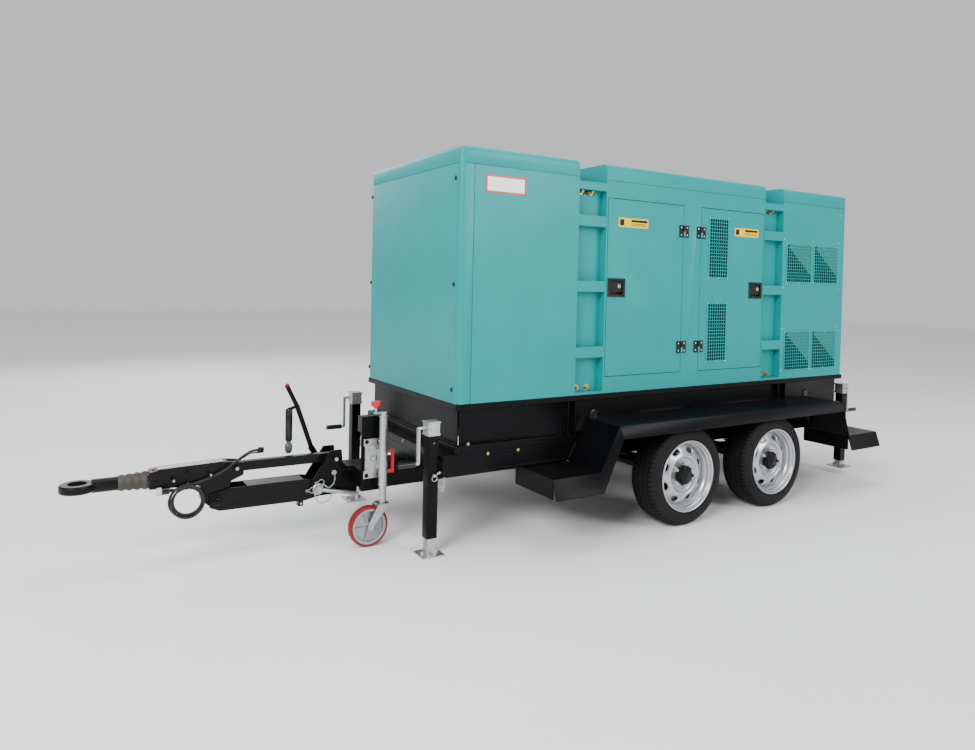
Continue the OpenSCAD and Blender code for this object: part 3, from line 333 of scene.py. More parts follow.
def finish_piece(name, mesh, body, replaces=(), slot=None, bevel=0.0, angle=35, segments=2):
    for f in mesh.polygons:
        f.use_smooth = True
    mesh.set_sharp_from_angle(angle=math.radians(angle))
    piece = bpy.data.objects.new(name, mesh)
    bpy.context.scene.collection.objects.link(piece)
    if bevel:
        mod = piece.modifiers.new("edges", "BEVEL")
        mod.width = bevel
        mod.segments = segments
        mod.limit_method = "ANGLE"
        mod.angle_limit = math.radians(angle)
        mod.harden_normals = True
        mod.use_clamp_overlap = True
    if body:
        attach(piece, body)
    if replaces:
        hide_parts(*([replaces] if isinstance(replaces, str) else replaces))
    return piece


BODY_OF = {n: b for b, members in frame["record"]["behaviour"]["bodies"].items() for n in members}


def skin(node, mats, choose=None, bevel=2.0, angle=35, segments=2, ride=True):
    """A node's own shape with rounded edges. choose(centre, normal) gives a face's place in mats."""
    source = frame["nodes"][node]
    bm = bmesh.new()
    bm.from_mesh(source.data)
    bmesh.ops.remove_doubles(bm, verts=bm.verts, dist=2e-6)
    bmesh.ops.dissolve_limit(bm, angle_limit=math.radians(0.6), verts=bm.verts, edges=bm.edges)
    for f in bm.faces:
        f.material_index = choose(f.calc_center_median() / MM, f.normal) if choose else 0
    mesh = bpy.data.meshes.new(node + "_skin")
    bm.to_mesh(mesh)
    bm.free()
    for m in mats:
        mesh.materials.append(m)
    body = BODY_OF[node] if ride else None
    return finish_piece(node + "_skin", mesh, body, node, slot_of(node), bevel * MM, angle, segments)


def slot_of(node):
    """Name of the record's material slot for a node."""
    return next(s["material_slot"] for s in frame["record"]["subparts"] if s["node"] == node)


SIDES = (("left", 1), ("right", -1))


# ------------------------------------------------------------------ trailer cable
CABLE_D = 13.0
COIL_MID = (-1262, 70, 316)
COIL_R = 84
TURNS, STEPS = 3, 16


def smooth_path(points, per=6):
    """Catmull-Rom curve through the points."""
    out = []
    ends = [2 * points[0] - points[1]] + points + [2 * points[-1] - points[-2]]
    for a, b, c, d in zip(ends, ends[1:], ends[2:], ends[3:]):
        for k in range(per):
            t = k / per
            out.append(0.5 * ((2 * b) + (c - a) * t + (2 * a - 5 * b + 4 * c - d) * t * t +
                              (3 * b - 3 * c + d - a) * t ** 3))
    return out + [points[-1]]


def cable_path():
    """From the gland down to the coil on the head's side, round its turns, and on to the plug."""
    route = [P(-890, 26, 537), P(-935, 33, 535), P(-982, 49, 516), P(-1032, 65, 487), P(-1088, 72, 452),
             P(-1145, 70, 427), P(-1202, 69, 410), P(-1236, 66, 402)]
    for k in range(TURNS * STEPS + 1):
        a = 2 * math.pi * k / STEPS
        part_way = k / (TURNS * STEPS)
        radius = COIL_R - 15 * math.sin(math.pi * part_way) ** 2 + 2.5 * math.sin(1.3 * a)
        off = -8 + 16 * part_way + 2 * math.sin(1.7 * a)
        s, y, z = COIL_MID
        route.append(P(s - radius * math.sin(a), y + off, z + radius * math.cos(a)))
    route += [P(-1296, 80, 391), P(-1322, 74, 385), P(-1350, 70, 383)]
    return smooth_path(route)


def make_cable(path):
    data = bpy.data.curves.new("trailer_cable", "CURVE")
    data.dimensions = "3D"
    spline = data.splines.new("POLY")
    spline.points.add(len(path) - 1)
    for q, p in zip(spline.points, path):
        q.co = (*p, 1)
    data.bevel_depth = CABLE_D / 2 * MM
    data.bevel_resolution = 5
    data.use_fill_caps = True
    data.materials.append(SHEATH)
    cable = bpy.data.objects.new("trailer_cable", data)
    bpy.context.scene.collection.objects.link(cable)
    return cable


path = cable_path()
CABLE_LENGTH = sum((b - a).length for a, b in zip(path, path[1:]))
cable = make_cable(path)
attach(cable, "overrun_head")
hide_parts("cable", "cable_coil")
skin("cable_plug", [CREAM, PLASTIC], lambda c, n: int(FRONT_X - c.x > -1367.5), bevel=1.5)
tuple(path[0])


# ------------------------------------------------------------------ canopy
def lining(c, n):
    """Inner faces of the canopy's panels carry sound lining."""
    s = FRONT_X - c.x
    if abs(n.x) > 0.9:
        return int(abs(s - 30) < 1 or abs(s - 3483) < 1)
    if abs(n.y) > 0.9:
        return int(abs(abs(c.y) - 597) < 1 and c.y * n.y < 0)
    return int(n.z < -0.9 and abs(c.z - 2193) < 1)


for node in ("canopy_front", "canopy_middle", "canopy_rear"):
    skin(node, [TEAL, FOAM], lining, bevel=2.5)
skin("lifting_columns", [TEAL], bevel=0)

HINGE = {"front": (1697, -1), "rear": (1860, 1)}     # hinge station, and which way the door runs from it
HINGE_Z = (1080, 1847)
LATCH = {"front": 1119, "rear": 2430}
LATCH_Z = 1465
COLUMNS = ((813, 1027), (2520, 2729))                # stations between which each column stands
COLUMN_Y = SIDE_Y - 53
RUNG_Z = (1069, 1470, 1867)
DOOR_OPENINGS = ((1039, 1697), (1860, 2512))
DOOR_Z = (912, 2019)


def door_faces(end):
    """Sound lining on a door's inner faces, and black on its latch housing and hinge barrels."""
    def choose(c, n):
        s, y = FRONT_X - c.x, abs(c.y)
        from_latch = abs(s - LATCH[end])
        by_latch = from_latch < 71 and abs(c.z - LATCH_Z) < 60 and y > 601 and (y > 627.5 or from_latch < 51)
        by_hinge = abs(y - 635) < 9 and abs(s - HINGE[end][0]) < 9
        return 2 if by_latch or by_hinge else int(y < 593)
    return choose


for end in ("front", "rear"):
    for side, sg in SIDES:
        skin("door_%s_%s" % (end, side), [TEAL, FOAM, PLASTIC], door_faces(end), bevel=3)
        skin("latch_%s_%s" % (end, side), [PLASTIC], bevel=1.5)
skin("rear_door", [TEAL, FOAM], lambda c, n: int(FRONT_X - c.x < 3486), bevel=2.5)


def rear_door_window():
    """Smoked pane in front of the instruments, in a rubber seal."""
    b = Build("rear_door_window")
    half, z0, z1, outer_face = 150, 1526, 1786, 3513
    b.box(P(outer_face - 18, -half - 0.4, z0 - 0.4), P(outer_face - 14, half + 0.4, z1 + 0.4), GLASS)
    for y in (-half, half):
        b.rod(P(outer_face, y, z0 - 5), P(outer_face, y, z1 + 5), 5 * MM, RUBBER, 12)
    for z in (z0, z1):
        b.rod(P(outer_face, -half, z), P(outer_face, half, z), 4.6 * MM, RUBBER, 12)
    b.done("rear_door", bevel=0.5 * MM)


rear_door_window()


def screen(name, body, s0, s1, z0, z1, sg, cols, rows, cell, frame_w=12, shade_split=False):
    """Perforated steel panel over a black backing that is painted shade seen through the holes, with its
    screws. cell is the open share of the pitch.
    """
    b = Build(name)
    y_back, y_face = SIDE_Y + 0.2, SIDE_Y + 2.6
    width, height = (s1 - s0 - 2 * frame_w) / cols, (z1 - z0 - 2 * frame_w) / rows
    gap_s, gap_z = width * (1 - cell) / 2, height * (1 - cell) / 2
    # Black backing: painted shade seen through the holes
    b.box(P(s0 + 3, sg * y_back, z0 + 3), P(s1 - 3, sg * (y_back + 0.3), z1 - 3), FOAM)
    if shade_split:
        # Painted light and shade: a darker copy of the teal over the upper part of the black backing, so the
        # holes show a lit half and a shaded half
        b.prism([P(s0 + 20, sg * (y_back + 0.3), z1 - 24), P(s1 - 8, sg * (y_back + 0.3), z0 + 60),
                 P(s1 - 8, sg * (y_back + 0.3), z1 - 8), P(s0 + 60, sg * (y_back + 0.3), z1 - 8)],
                Vector((0, sg * 0.25, 0)) * MM, SHADE)
    # Vertical bars between the holes run full height, and short bars fill each column
    edges = [s0] + [s0 + frame_w + i * width + q for i in range(cols) for q in (gap_s, width - gap_s)] + [s1]
    for a, c in zip(edges[0::2], edges[1::2]):
        b.box(P(a, sg * (y_back + 0.3), z0), P(c, sg * y_face, z1), TEAL)
    rungs = [z0 + frame_w + i * height + q for i in range(rows) for q in (gap_z, height - gap_z)]
    rungs = [z0] + rungs + [z1]
    for a, c in zip(edges[1::2], edges[2::2]):
        for low, high in zip(rungs[0::2], rungs[1::2]):
            b.box(P(a, sg * (y_back + 0.3), low), P(c, sg * y_face, high), TEAL)
    for s in (s0 + 6, (s0 + s1) / 2, s1 - 6):
        for z in (z0 + 6, z1 - 6):
            b.dome(P(s, sg * y_face, z), (0, sg, 0), 4 * MM, STEEL)
    b.done(body)


DOOR_SCREEN_S = (1936, 2141)
DOOR_SCREEN_Z = ((966, 1380), (1538, 1962))
GRILLE_S = ((2776, 3080), (3105, 3411))
GRILLE_Z = ((870, 1167), (1527, 1822))
for side, sg in SIDES:
    for k, span in enumerate(DOOR_SCREEN_Z):
        screen("door_screen_%s_%d" % (side, k), "door_rear_" + side, *DOOR_SCREEN_S, *span, sg, 8, 17, 0.80)
    for k, width in enumerate(GRILLE_S):
        for j, span in enumerate(GRILLE_Z):
            screen("grille_%s_%d_%d" % (side, k, j), "trailer", *width, *span, sg, 12, 12, 0.82, 8, True)


def end_wall_buffers(b):
    """Rubber buffers on the front wall."""
    for y in (572, -606):
        for z in (2045, 1465, 887):
            b.rod(P(0, y, z), P(-2, y, z), 13 * MM, RUBBER, 24)
            b.dome(P(-2, y, z), (1, 0, 0), 11 * MM, PLASTIC, 0.5)


def column_details(b, s0, s1, sg):
    """Black bar of painted shade for the recess at the top, with its bolts, bolts at the foot, and the screws
    of the sheet and the rungs.
    """
    y = sg * COLUMN_Y
    # Painted shade: a black bar where the recess at the column's top lies in shade
    b.box(P(s0 + 22, y - 1, 2030), P(s1 - 60, y + sg * 4, 2060), PLASTIC)
    for s in (s0 + 45, s1 - 90):
        b.hex_bolt(P(s, y + sg * 4, 2045), (0, sg, 0), 26 * MM, BRASS, BRASS)
        b.hex_bolt(P(s, y, 850), (0, sg, 0), 26 * MM, BRASS, BRASS)
    for z in (1120, 1300, 1540, 1700, 1930):
        b.dome(P(s0 + 14, y, z), (0, sg, 0), 5 * MM, TEAL)
        b.dome(P(s1 - 14, y, z), (0, sg, 0), 5 * MM, TEAL)
    for z in RUNG_Z:
        for s in (s0 + 16, s1 - 16):
            b.dome(P(s, sg * SIDE_Y, z), (0, sg, 0), 5.5 * MM, TEAL)


def return_flanges(b, s0, s1, sg):
    """Flanges that close the canopy panels' edges beside a column, up the side and across the roof."""
    for s, way in ((s0, -1), (s1, 1)):
        b.box(P(s - way * 0.3, sg * 540, 812), P(s + way * 2.7, sg * 599, 2089), TEAL)
        b.box(P(s - way * 0.3, 0, 2090), P(s + way * 2.7, sg * 599, 2194), TEAL)


def hinge_leaf(b, s, way, z, sg):
    """Leaf of a hinge with two screws, running from the pin at station s in the given way."""
    b.box(P(s + way * 4, sg * SIDE_Y, z - 39), P(s + way * 42, sg * (SIDE_Y + 5.6), z + 39), PLASTIC)
    for dz in (-24, 24):
        b.dome(P(s + way * 27, sg * (SIDE_Y + 5.6), z + dz), (0, sg, 0), 6 * MM, STEEL)


def door_seal(b, s0, s1, sg):
    """Rubber seal in the gap round a door."""
    z0, z1 = DOOR_Z
    for a, c, low, high in ((s0, s1, z0, z0 + 3), (s0, s1, z1 - 3, z1), (s0, s0 + 2.6, z0, z1),
                            (s1 - 2.6, s1, z0, z1)):
        b.box(P(a, sg * (SIDE_Y - 16), low), P(c, sg * (SIDE_Y - 4), high), RUBBER)


def canopy_fittings():
    b = Build("canopy_fittings")
    end_wall_buffers(b)
    for _, sg in SIDES:
        for s0, s1 in COLUMNS:
            column_details(b, s0, s1, sg)
            return_flanges(b, s0, s1, sg)
        for s in (880, 960):
            b.dome(P(s, sg * COLUMN_Y, 2000), (0, sg, 0), 4.5 * MM, TEAL)
        # Screws round the rear housing's side
        for z in (870, 1190, 1490, 1850, 2070):
            for s in (2748, 3092, 3428):
                b.dome(P(s, sg * SIDE_Y, z), (0, sg, 0), 5 * MM, STEEL)
        for s, way in HINGE.values():
            for z in HINGE_Z:
                hinge_leaf(b, s, -way, z, sg)
        for s0, s1 in DOOR_OPENINGS:
            door_seal(b, s0, s1, sg)
    b.done("trailer", bevel=0.6 * MM)


canopy_fittings()


def label(name, body, s0, s1, z0, z1, sg, face, edge, lines=(), rim=5):
    """Printed plate with no wording: a field, a border and plain bars."""
    b = Build(name)
    y = SIDE_Y
    b.box(P(s0, sg * y, z0), P(s1, sg * (y + 0.8), z1), edge)
    b.box(P(s0 + rim, sg * (y + 0.7), z0 + rim), P(s1 - rim, sg * (y + 1.1), z1 - rim), face)
    for a, c, low, high, mat in lines:
        b.box(P(s0 + a, sg * (y + 1.0), z0 + low), P(s0 + c, sg * (y + 1.3), z0 + high), mat)
    b.done(body, bevel=0.2 * MM)


def latch_key(name, body, s, sg):
    """Lock barrel in the latch's paddle, with a black bar of painted shade for its key slot."""
    b = Build(name)
    y = SIDE_Y - 1
    barrel = prof((0, 0), (13, 0), (13, 3), (10, 5), (10, 3.4), (0, 3.4))
    b.lathe(barrel, P(s, sg * y, LATCH_Z + 10), (0, sg, 0), STEEL, 24)
    # Key slot: a black bar standing proud of the barrel, painted shade in place of a recess
    b.box(P(s - 1.5, sg * (y + 3), LATCH_Z + 4), P(s + 1.5, sg * (y + 4), LATCH_Z + 16), FOAM)
    b.done(body, bevel=0.2 * MM)


# Each bar of a notice: from and to along it, from and to up it, and its colour
NOTICE = [(8, 44, 10, 48, PLASTIC), (54, 96, 10, 48, YELLOW), (104, 238, 34, 50, PLASTIC),
          (104, 220, 22, 26, PLASTIC), (104, 228, 13, 17, PLASTIC)]
NOTICE_AT = {"front": (1128, 1375, 1844), "rear": (2200, 2448, 1843)}
for side, sg in SIDES:
    label("maker_plate_" + side, "trailer", 159, 427, 1976, 2076, sg, WHITE, RED, rim=11)
    for end, (s0, s1, z0) in NOTICE_AT.items():
        tag = "%s_%s" % (end, side)
        label("notice_" + tag, "door_" + tag, s0, s1, z0, z0 + 58, sg, YELLOW, YELLOW, NOTICE)
    for end, (s, way) in HINGE.items():
        tag = "%s_%s" % (end, side)
        b = Build("hinge_leaves_" + tag)
        for z in HINGE_Z:
            hinge_leaf(b, s, way, z, sg)
        b.done("door_" + tag, bevel=0.8 * MM)
        latch_key("latch_key_" + tag, "latch_" + tag, LATCH[end] + 24, sg)


# ------------------------------------------------------------------ chassis, base and mudguards
for node, mat, bevel in (("chassis_frame", BLACK, 3), ("spine_beam", BLACK, 2.5), ("base_frame", BLACK, 3),
                         ("fuel_tank", BLACK, 8), ("mudguards", BLACK, 2), ("leaf_springs", CAST, 2),
                         ("axles", CAST, 3), ("engine", IRON_Y, 8), ("alternator", IRON_G, 6),
                         ("radiator", CORE, 4), ("silencer", GREY_TUBE, 4), ("battery", PLASTIC, 4)):
    skin(node, [mat], bevel=bevel)
skin("control_cabinet", [CABINET, GLASS], lambda c, n: int(n.x < -0.9 and c.x < FRONT_X - 3445), bevel=3)


def chassis_fittings():
    b = Build("chassis_fittings")
    for side, sg in SIDES:
        for s in (210, 412, 1250, 2050, 2950):
            b.hex_bolt(P(s, sg * (SIDE_Y - 0.5), 526), (0, sg, 0), 12 * MM, BRASS, BRASS, 0.4)
        # Weld beads where the chassis end members meet the rails
        b.tube([P(4, sg * (SIDE_Y - 80), 431), P(4, sg * (SIDE_Y - 80), 534)], 3 * MM, BLACK, 8)
        # Cable glands and lamp lead clips along the rail
        for s in (650, 1180, 2700):
            b.box(P(s, sg * (SIDE_Y - 40), 420), P(s + 26, sg * (SIDE_Y - 14), 426), PLASTIC)
        # Round earth plug and lamp socket in the base's recessed web
        for s in (990, 3105):
            b.lathe(prof((0, 0), (34, 0), (34, 5), (27, 8), (27, 4), (0, 4)), P(s, sg * (SIDE_Y - 33), 676),
                    (0, sg, 0), PLASTIC, 32)
        for s in (90, 1500, 2300, 3300):
            b.hex_bolt(P(s, sg * (SIDE_Y - 18), 583), (0, 0, 1), 16 * MM, ZINC, ZINC, 0.5)
    for y in (-500, -123, 123, 500):
        b.hex_bolt(P(-75, y, 526), (1, 0, 0), 12 * MM, BRASS, BRASS, 0.4)
    b.done("trailer", bevel=0.6 * MM)


chassis_fittings()


def jockey_tower_fittings():
    """Galvanised plate with its bolts on the black tower plate."""
    b = Build("tower_fittings")
    y = 240
    ears = [(-371, 585), (-262, 585), (-262, 548), (-274, 532), (-274, 415), (-262, 399), (-262, 362),
            (-371, 362), (-371, 399), (-359, 415), (-359, 532), (-371, 548)]
    b.prism([P(s, y - 1, z) for s, z in ears], Vector((0, 4, 0)) * MM, ZINC)
    for s, mat in ((-353, CAST), (-281, BRASS)):
        for z in (378, 569):
            b.hex_bolt(P(s, y + 3, z), (0, 1, 0), 15 * MM, mat, CAST, 0.5)
    b.done("trailer", bevel=0.5 * MM)


jockey_tower_fittings()

# ------------------------------------------------------------------ wheels
BEAD_R = 209
AXLES = {"front": 1488, "rear": 2313}
TRACK, HUB_Z = 820, 310


def tyre(name, centre, sg):
    """Tyre with grooves round it, cross-cut shoulders and a ribbed sidewall. Its outside is at positive w."""
    section = [(BEAD_R + 2, 84), (BEAD_R + 10, 93), (BEAD_R + 16, 95), (BEAD_R + 19, 98.5),
               (BEAD_R + 22, 98.5), (BEAD_R + 25, 97), (BEAD_R + 38, 101), (BEAD_R + 40, 102.3),
               (BEAD_R + 43, 102.3),
               (BEAD_R + 45, 101.2), (BEAD_R + 58, 98), (BEAD_R + 61, 98.8), (BEAD_R + 64, 96.5), (291, 91),
               (299, 86), (304, 80), (306.5, 74), (307.6, 60), (301, 58.5), (300.6, 52.5), (308.4, 51),
               (309, 36), (309.3, 25), (301.6, 23.5), (301.4, 17.5), (309.7, 16), (310, 8), (310, 0)]
    outer = section + [(r, -w) for r, w in reversed(section[:-1])]
    inner = [(BEAD_R + 3, -80), (BEAD_R + 30, -90), (285, -78), (294, -40), (295, 0), (294, 40), (285, 78),
             (BEAD_R + 30, 90), (BEAD_R + 3, 80)]
    ring = outer + inner
    bm = bmesh.new()
    pitches = 66
    turn = 2 * math.pi / pitches
    loops = []
    for i in range(pitches):
        for part, cut in ((0.0, False), (0.72, False), (0.76, True), (0.96, True)):
            a = (i + part) * turn
            loop = []
            for r, w in ring:
                lean = 0.10 * turn * (abs(w) - 60) / 30 if r > 285 else 0
                rr = r
                if cut and r > 296:
                    if abs(w) > 58:
                        rr = r - 6.5
                    elif 25 < abs(w) < 52:
                        rr = r - 3.5
                x, z = rr * math.cos(a + lean), rr * math.sin(a + lean)
                loop.append(bm.verts.new((centre + Vector((x, sg * w, z))) * MM))
            loops.append(loop)
    n = len(ring)
    for a, c in zip(loops, loops[1:] + loops[:1]):
        for k in range(n):
            j = (k + 1) % n
            bm.faces.new((a[k], a[j], c[j], c[k]))
    bmesh.ops.recalc_face_normals(bm, faces=bm.faces)
    mesh = bpy.data.meshes.new(name + "_tread")
    bm.to_mesh(mesh)
    bm.free()
    mesh.materials.append(TYRE)
    finish_piece(name + "_tread", mesh, BODY_OF[name], name, "tyre", angle=28)


# Front of the wheel disc as (radius, height over the wheel's middle plane)
DISC = ((40, 48), (98, 48), (103, 51), (108, 57), (112, 62), (117, 66), (122, 67), (127, 65), (134, 60),
        (178, 36), (184, 31), (189, 28), (193, 25))
# Section of the barrel as (radius, distance out), round its outside flange, its steps and its inside flange
BARREL = ((218, 93), (222, 95), (222, 98), (220, 101), (216, 102), (212, 100), (209, 95), (208, 88),
          (205, 82), (200, 79), (198, 73), (197, 64), (195, 59), (191, 55), (189, 48), (189, 30),
          (189, -60), (195, -75), (204, -85), (207, -95), (213, -101), (220, -101), (222, -97),
          (218, -93), (213, -88), (209, -80), (202, -70), (195, -55), (195, 45), (197, 52), (201, 57),
          (204, 70), (210, 76), (213, 88))
DISC_T = 4.5
HOLES, HOLE_LONG, HOLE_HIGH, HOLE_DIP = 8, 29, 16.5, 5
HOLE_ZONE = (134, 178)


def disc_height(r):
    """Height of the disc's front at a radius."""
    for (r0, h0), (r1, h1) in zip(DISC, DISC[1:]):
        if r <= r1:
            return h0 + (h1 - h0) * (r - r0) / (r1 - r0)
    return DISC[-1][1]


def wheel_disc(b, centre, sg):
    """Dished disc with oval hand holes, built as rings of quads with a ring of cells round each hole."""
    made, faces = [], []
    steps = 96

    def spot(r, turn, h):
        made.append(b.bm.verts.new((centre + Vector((r * math.sin(turn), sg * h, r * math.cos(turn)))) * MM))
        return made[-1]

    def circle(r, depth):
        return [spot(r, 2 * math.pi * k / steps, disc_height(r) - depth) for k in range(steps)]

    def bridge(low, high):
        for k in range(len(low)):
            faces.append(b.bm.faces.new((low[k - 1], low[k], high[k], high[k - 1])))

    inside = [r for r, h in DISC if r <= HOLE_ZONE[0]]
    outside = [r for r, h in DISC if r >= HOLE_ZONE[1]]
    for depth in (0, DISC_T):
        for radii in (inside, outside):
            grid = [circle(r, depth) for r in radii]
            for low, high in zip(grid, grid[1:]):
                bridge(low, high)
    for r in (inside[0], outside[-1]):
        bridge(circle(r, 0), circle(r, DISC_T))
    # Cells from each hole's edge out to its share of the ring
    share = math.pi / HOLES
    across = steps // HOLES
    mid, half = sum(HOLE_ZONE) / 2, (HOLE_ZONE[1] - HOLE_ZONE[0]) / 2
    border = [(-1 + 2 * k / across, -1) for k in range(across)] + [(1, -1 + k / 2) for k in range(4)]
    border += [(-u, -v) for u, v in border]
    for k in range(HOLES):
        middle = 2 * share * k + share
        hole_edges = []
        for depth in (0, DISC_T):
            layers = []
            for part_way in (0, 0.12, 0.3, 0.6, 1):
                ring = []
                for u, v in border:
                    a = math.atan2(v, u)
                    hole_u, hole_v = HOLE_LONG * math.cos(a) / mid / share, HOLE_HIGH * math.sin(a) / half
                    r = mid + half * (hole_v + (v - hole_v) * part_way)
                    turn = middle + share * (hole_u + (u - hole_u) * part_way)
                    dip = HOLE_DIP * max(0, 1 - part_way / 0.3) ** 2
                    ring.append(spot(r, turn, disc_height(r) - depth - dip))
                layers.append(ring)
            hole_edges.append(layers[0])
            for low, high in zip(layers, layers[1:]):
                bridge(low, high)
        bridge(*hole_edges)
    b.paint(faces, SILVER)
    bmesh.ops.remove_doubles(b.bm, verts=made, dist=0.02 * MM)


def rim(name, centre, sg):
    """Pressed-steel wheel: flanged barrel, dished disc with hand holes, nuts and hub cap."""
    out = Vector((0, sg, 0))
    b = Build(name + "_steel")
    wheel_disc(b, centre, sg)
    b.lathe(prof(*BARREL), centre * MM, out, SILVER, 96, closed=True)
    piece = b.done(BODY_OF[name])
    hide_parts(name)
    slot_of(name)
    b = Build(name + "_fittings")
    for k in range(6):
        a = 2 * math.pi * k / 6
        spot = centre + Vector((80 * math.sin(a), sg * 47, 80 * math.cos(a)))
        b.hex_bolt(spot * MM, out, 27 * MM, ZINC, ZINC, 0.7)
    # Hub cap: stepped, with lugs round it
    hub = centre + Vector((0, sg * 70, 0))
    b.lathe(prof((57, -22), (60, -20), (60, 2), (56, 6), (52, 7), (52, 12), (44, 15), (24, 16), (20, 19),
                 (0, 20)),
            hub * MM, out, CAST, 40)
    for k in range(3):
        a = 2 * math.pi * (k + 0.2) / 3
        spot = hub + Vector((54 * math.sin(a), sg * 4, 54 * math.cos(a)))
        b.rod(spot * MM, (spot + out * 13) * MM, 11 * MM, CAST, 20, 2 * MM)
    # Valve
    spot = centre + Vector((150, sg * 50, 118))
    b.rod(spot * MM, (spot + out * 22) * MM, 4 * MM, RUBBER, 12, 1 * MM)
    b.rod((spot + out * 22) * MM, (spot + out * 30) * MM, 5 * MM, PLASTIC, 12, 1 * MM)
    # Balance weight
    b.box((centre + Vector((-28, sg * 91, -206))) * MM, (centre + Vector((12, sg * 99, -199))) * MM, ZINC)
    b.done(BODY_OF[name], bevel=0.5 * MM)


for end, s in AXLES.items():
    for side, sg in SIDES:
        centre = Vector((FRONT_X - s, sg * TRACK, HUB_Z))
        tyre("tyre_%s_%s" % (end, side), centre, sg)
        rim("rim_%s_%s" % (end, side), centre, sg)

# ------------------------------------------------------------------ corner jacks
JACKS = {"front": (-115, 1), "rear": (3608, -1)}     # station, and which way the lock pin's chain hangs
JACK_Y = 567
JACK_PIN_Z = 437


def chain(b, points, mat, wire=1.6, pitch=13.0):
    """Links of bent wire hung along a line."""
    line = smooth_path([Vector(p) for p in points], 12)
    total = sum((q - p).length for p, q in zip(line, line[1:]))
    count = max(2, round(total / (pitch * MM)))
    spots, run, k = [], 0.0, 0
    for i in range(count + 1):
        want = total * i / count
        while k < len(line) - 2 and run + (line[k + 1] - line[k]).length < want:
            run += (line[k + 1] - line[k]).length
            k += 1
        seg = line[k + 1] - line[k]
        spots.append(line[k] + seg * min(1, (want - run) / max(seg.length, 1e-9)))
    for i, (p, q) in enumerate(zip(spots, spots[1:])):
        mid, way = (p + q) / 2, (q - p).normalized()
        across = way.orthogonal().normalized()
        across.rotate(Matrix.Rotation(math.radians(90) * (i % 2), 3, way))
        half, wide = (q - p).length / 2 + wire * MM, 3.6 * MM
        ring = []
        for j in range(16):
            a = 2 * math.pi * j / 16
            ring.append(mid + way * half * math.cos(a) + across * wide * math.sin(a))
        b.tube(ring, wire * MM, mat, 6, loop=True)


def jack_fittings(tag, s, y, sg, way):
    """Cap screws, grease nipple, lock pin on its chain, and the rolled lips of the galvanised cap."""
    b = Build("jack_fittings_" + tag)
    for ds in (-22, 22):
        b.hex_bolt(P(s + ds, y + sg * 34, 690), (0, sg, 0), 13 * MM, ZINC, ZINC, 0.5)
    b.rod(P(s, y + sg * 30, 610), P(s, y + sg * 38, 610), 4 * MM, BRASS, 12, 1 * MM)
    pin_z = JACK_PIN_Z
    b.rod(P(s, y + sg * 29, pin_z), P(s, y + sg * 52, pin_z), 8 * MM, ZINC, 20, 1.5 * MM)
    turns = [2 * math.pi * k / 24 for k in range(24)]
    ring = [P(s + 15 * math.cos(a), y + sg * 48, pin_z - 14 + 15 * math.sin(a)) for a in turns]
    b.tube(ring, 2 * MM, ZINC, 8, loop=True)
    for reach in (0, 9):
        # Each point: along the trailer, out from the jack, and up from the pin
        hang = ((8, 48, 2), (34 + reach, 46, 16), (58 + reach, 42, -20), (50 + reach, 38, -92),
                (34 + reach, 36, -60))
        chain(b, [P(s + way * ds, y + sg * dy, pin_z + dz) for ds, dy, dz in hang], ZINC)
    for low, high, half in ((649, 662, 36), (716, 725, 37.5)):
        b.box(P(s - half, y - half, low), P(s + half, y + half, high), ZINC)
    b.tube([P(s - 30, y + sg * 30.4, 96), P(s + 30, y + sg * 30.4, 96)], 1.6 * MM, BLACK, 6)
    b.done("jack_" + tag, bevel=0.6 * MM)


def foot_weld(tag, s, y):
    """Weld bead between a leg and its foot plate."""
    b = Build("foot_welds_" + tag)
    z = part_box("leg_" + tag)[0].z / MM + 9
    square = ((-25, -25), (25, -25), (25, 25), (-25, 25))
    b.tube([P(s + ds, y + dy, z) for ds, dy in square], 2.5 * MM, ZINC, 8, loop=True)
    b.done("leg_" + tag)


def crank_faces(s):
    """The crank's grip is plastic."""
    return lambda c, n: int(abs(c.x - (FRONT_X - s)) > 95.5)


for end, (s, way) in JACKS.items():
    for side, sg in SIDES:
        tag = "%s_%s" % (end, side)
        skin("jack_" + tag, [BLACK, ZINC], lambda c, n: int(c.z > 649), bevel=4)
        skin("leg_" + tag, [ZINC], bevel=2)
        skin("crank_" + tag, [ZINC, PLASTIC], crank_faces(s), bevel=2.5)
        jack_fittings(tag, s, sg * JACK_Y, sg, way)
        foot_weld(tag, s, sg * JACK_Y)

# ------------------------------------------------------------------ jockey wheel
J_S, J_Y, J_WHEEL_S, J_HUB_Z = -275, 292, -358, 112.5
ROLLER_CORE = ((9.5, -28), (20, -28), (22, -26), (24, -8), (30, -5), (78, -4), (82, -8), (84, -21), (86, -23),
               (97, -23), (99, -21), (99, 21), (97, 23), (86, 23), (84, 21), (82, 8), (78, 4), (30, 5),
               (24, 8), (22, 26), (20, 28), (9.5, 28))
ROLLER_TREAD = ((98, -24), (104, -25), (109, -22), (112, -15), (112.5, 0), (112, 15), (109, 22), (104, 25),
                (98, 24))
skin("jockey_tube", [ZINC, RED], lambda c, n: int(FRONT_X - c.x > -246), bevel=2)
skin("jockey_leg", [ZINC], bevel=1)
skin("jockey_fork", [ZINC], bevel=1.5)
skin("jockey_crank", [ZINC, RED], lambda c, n: int(c.z > 767), bevel=7, segments=4)


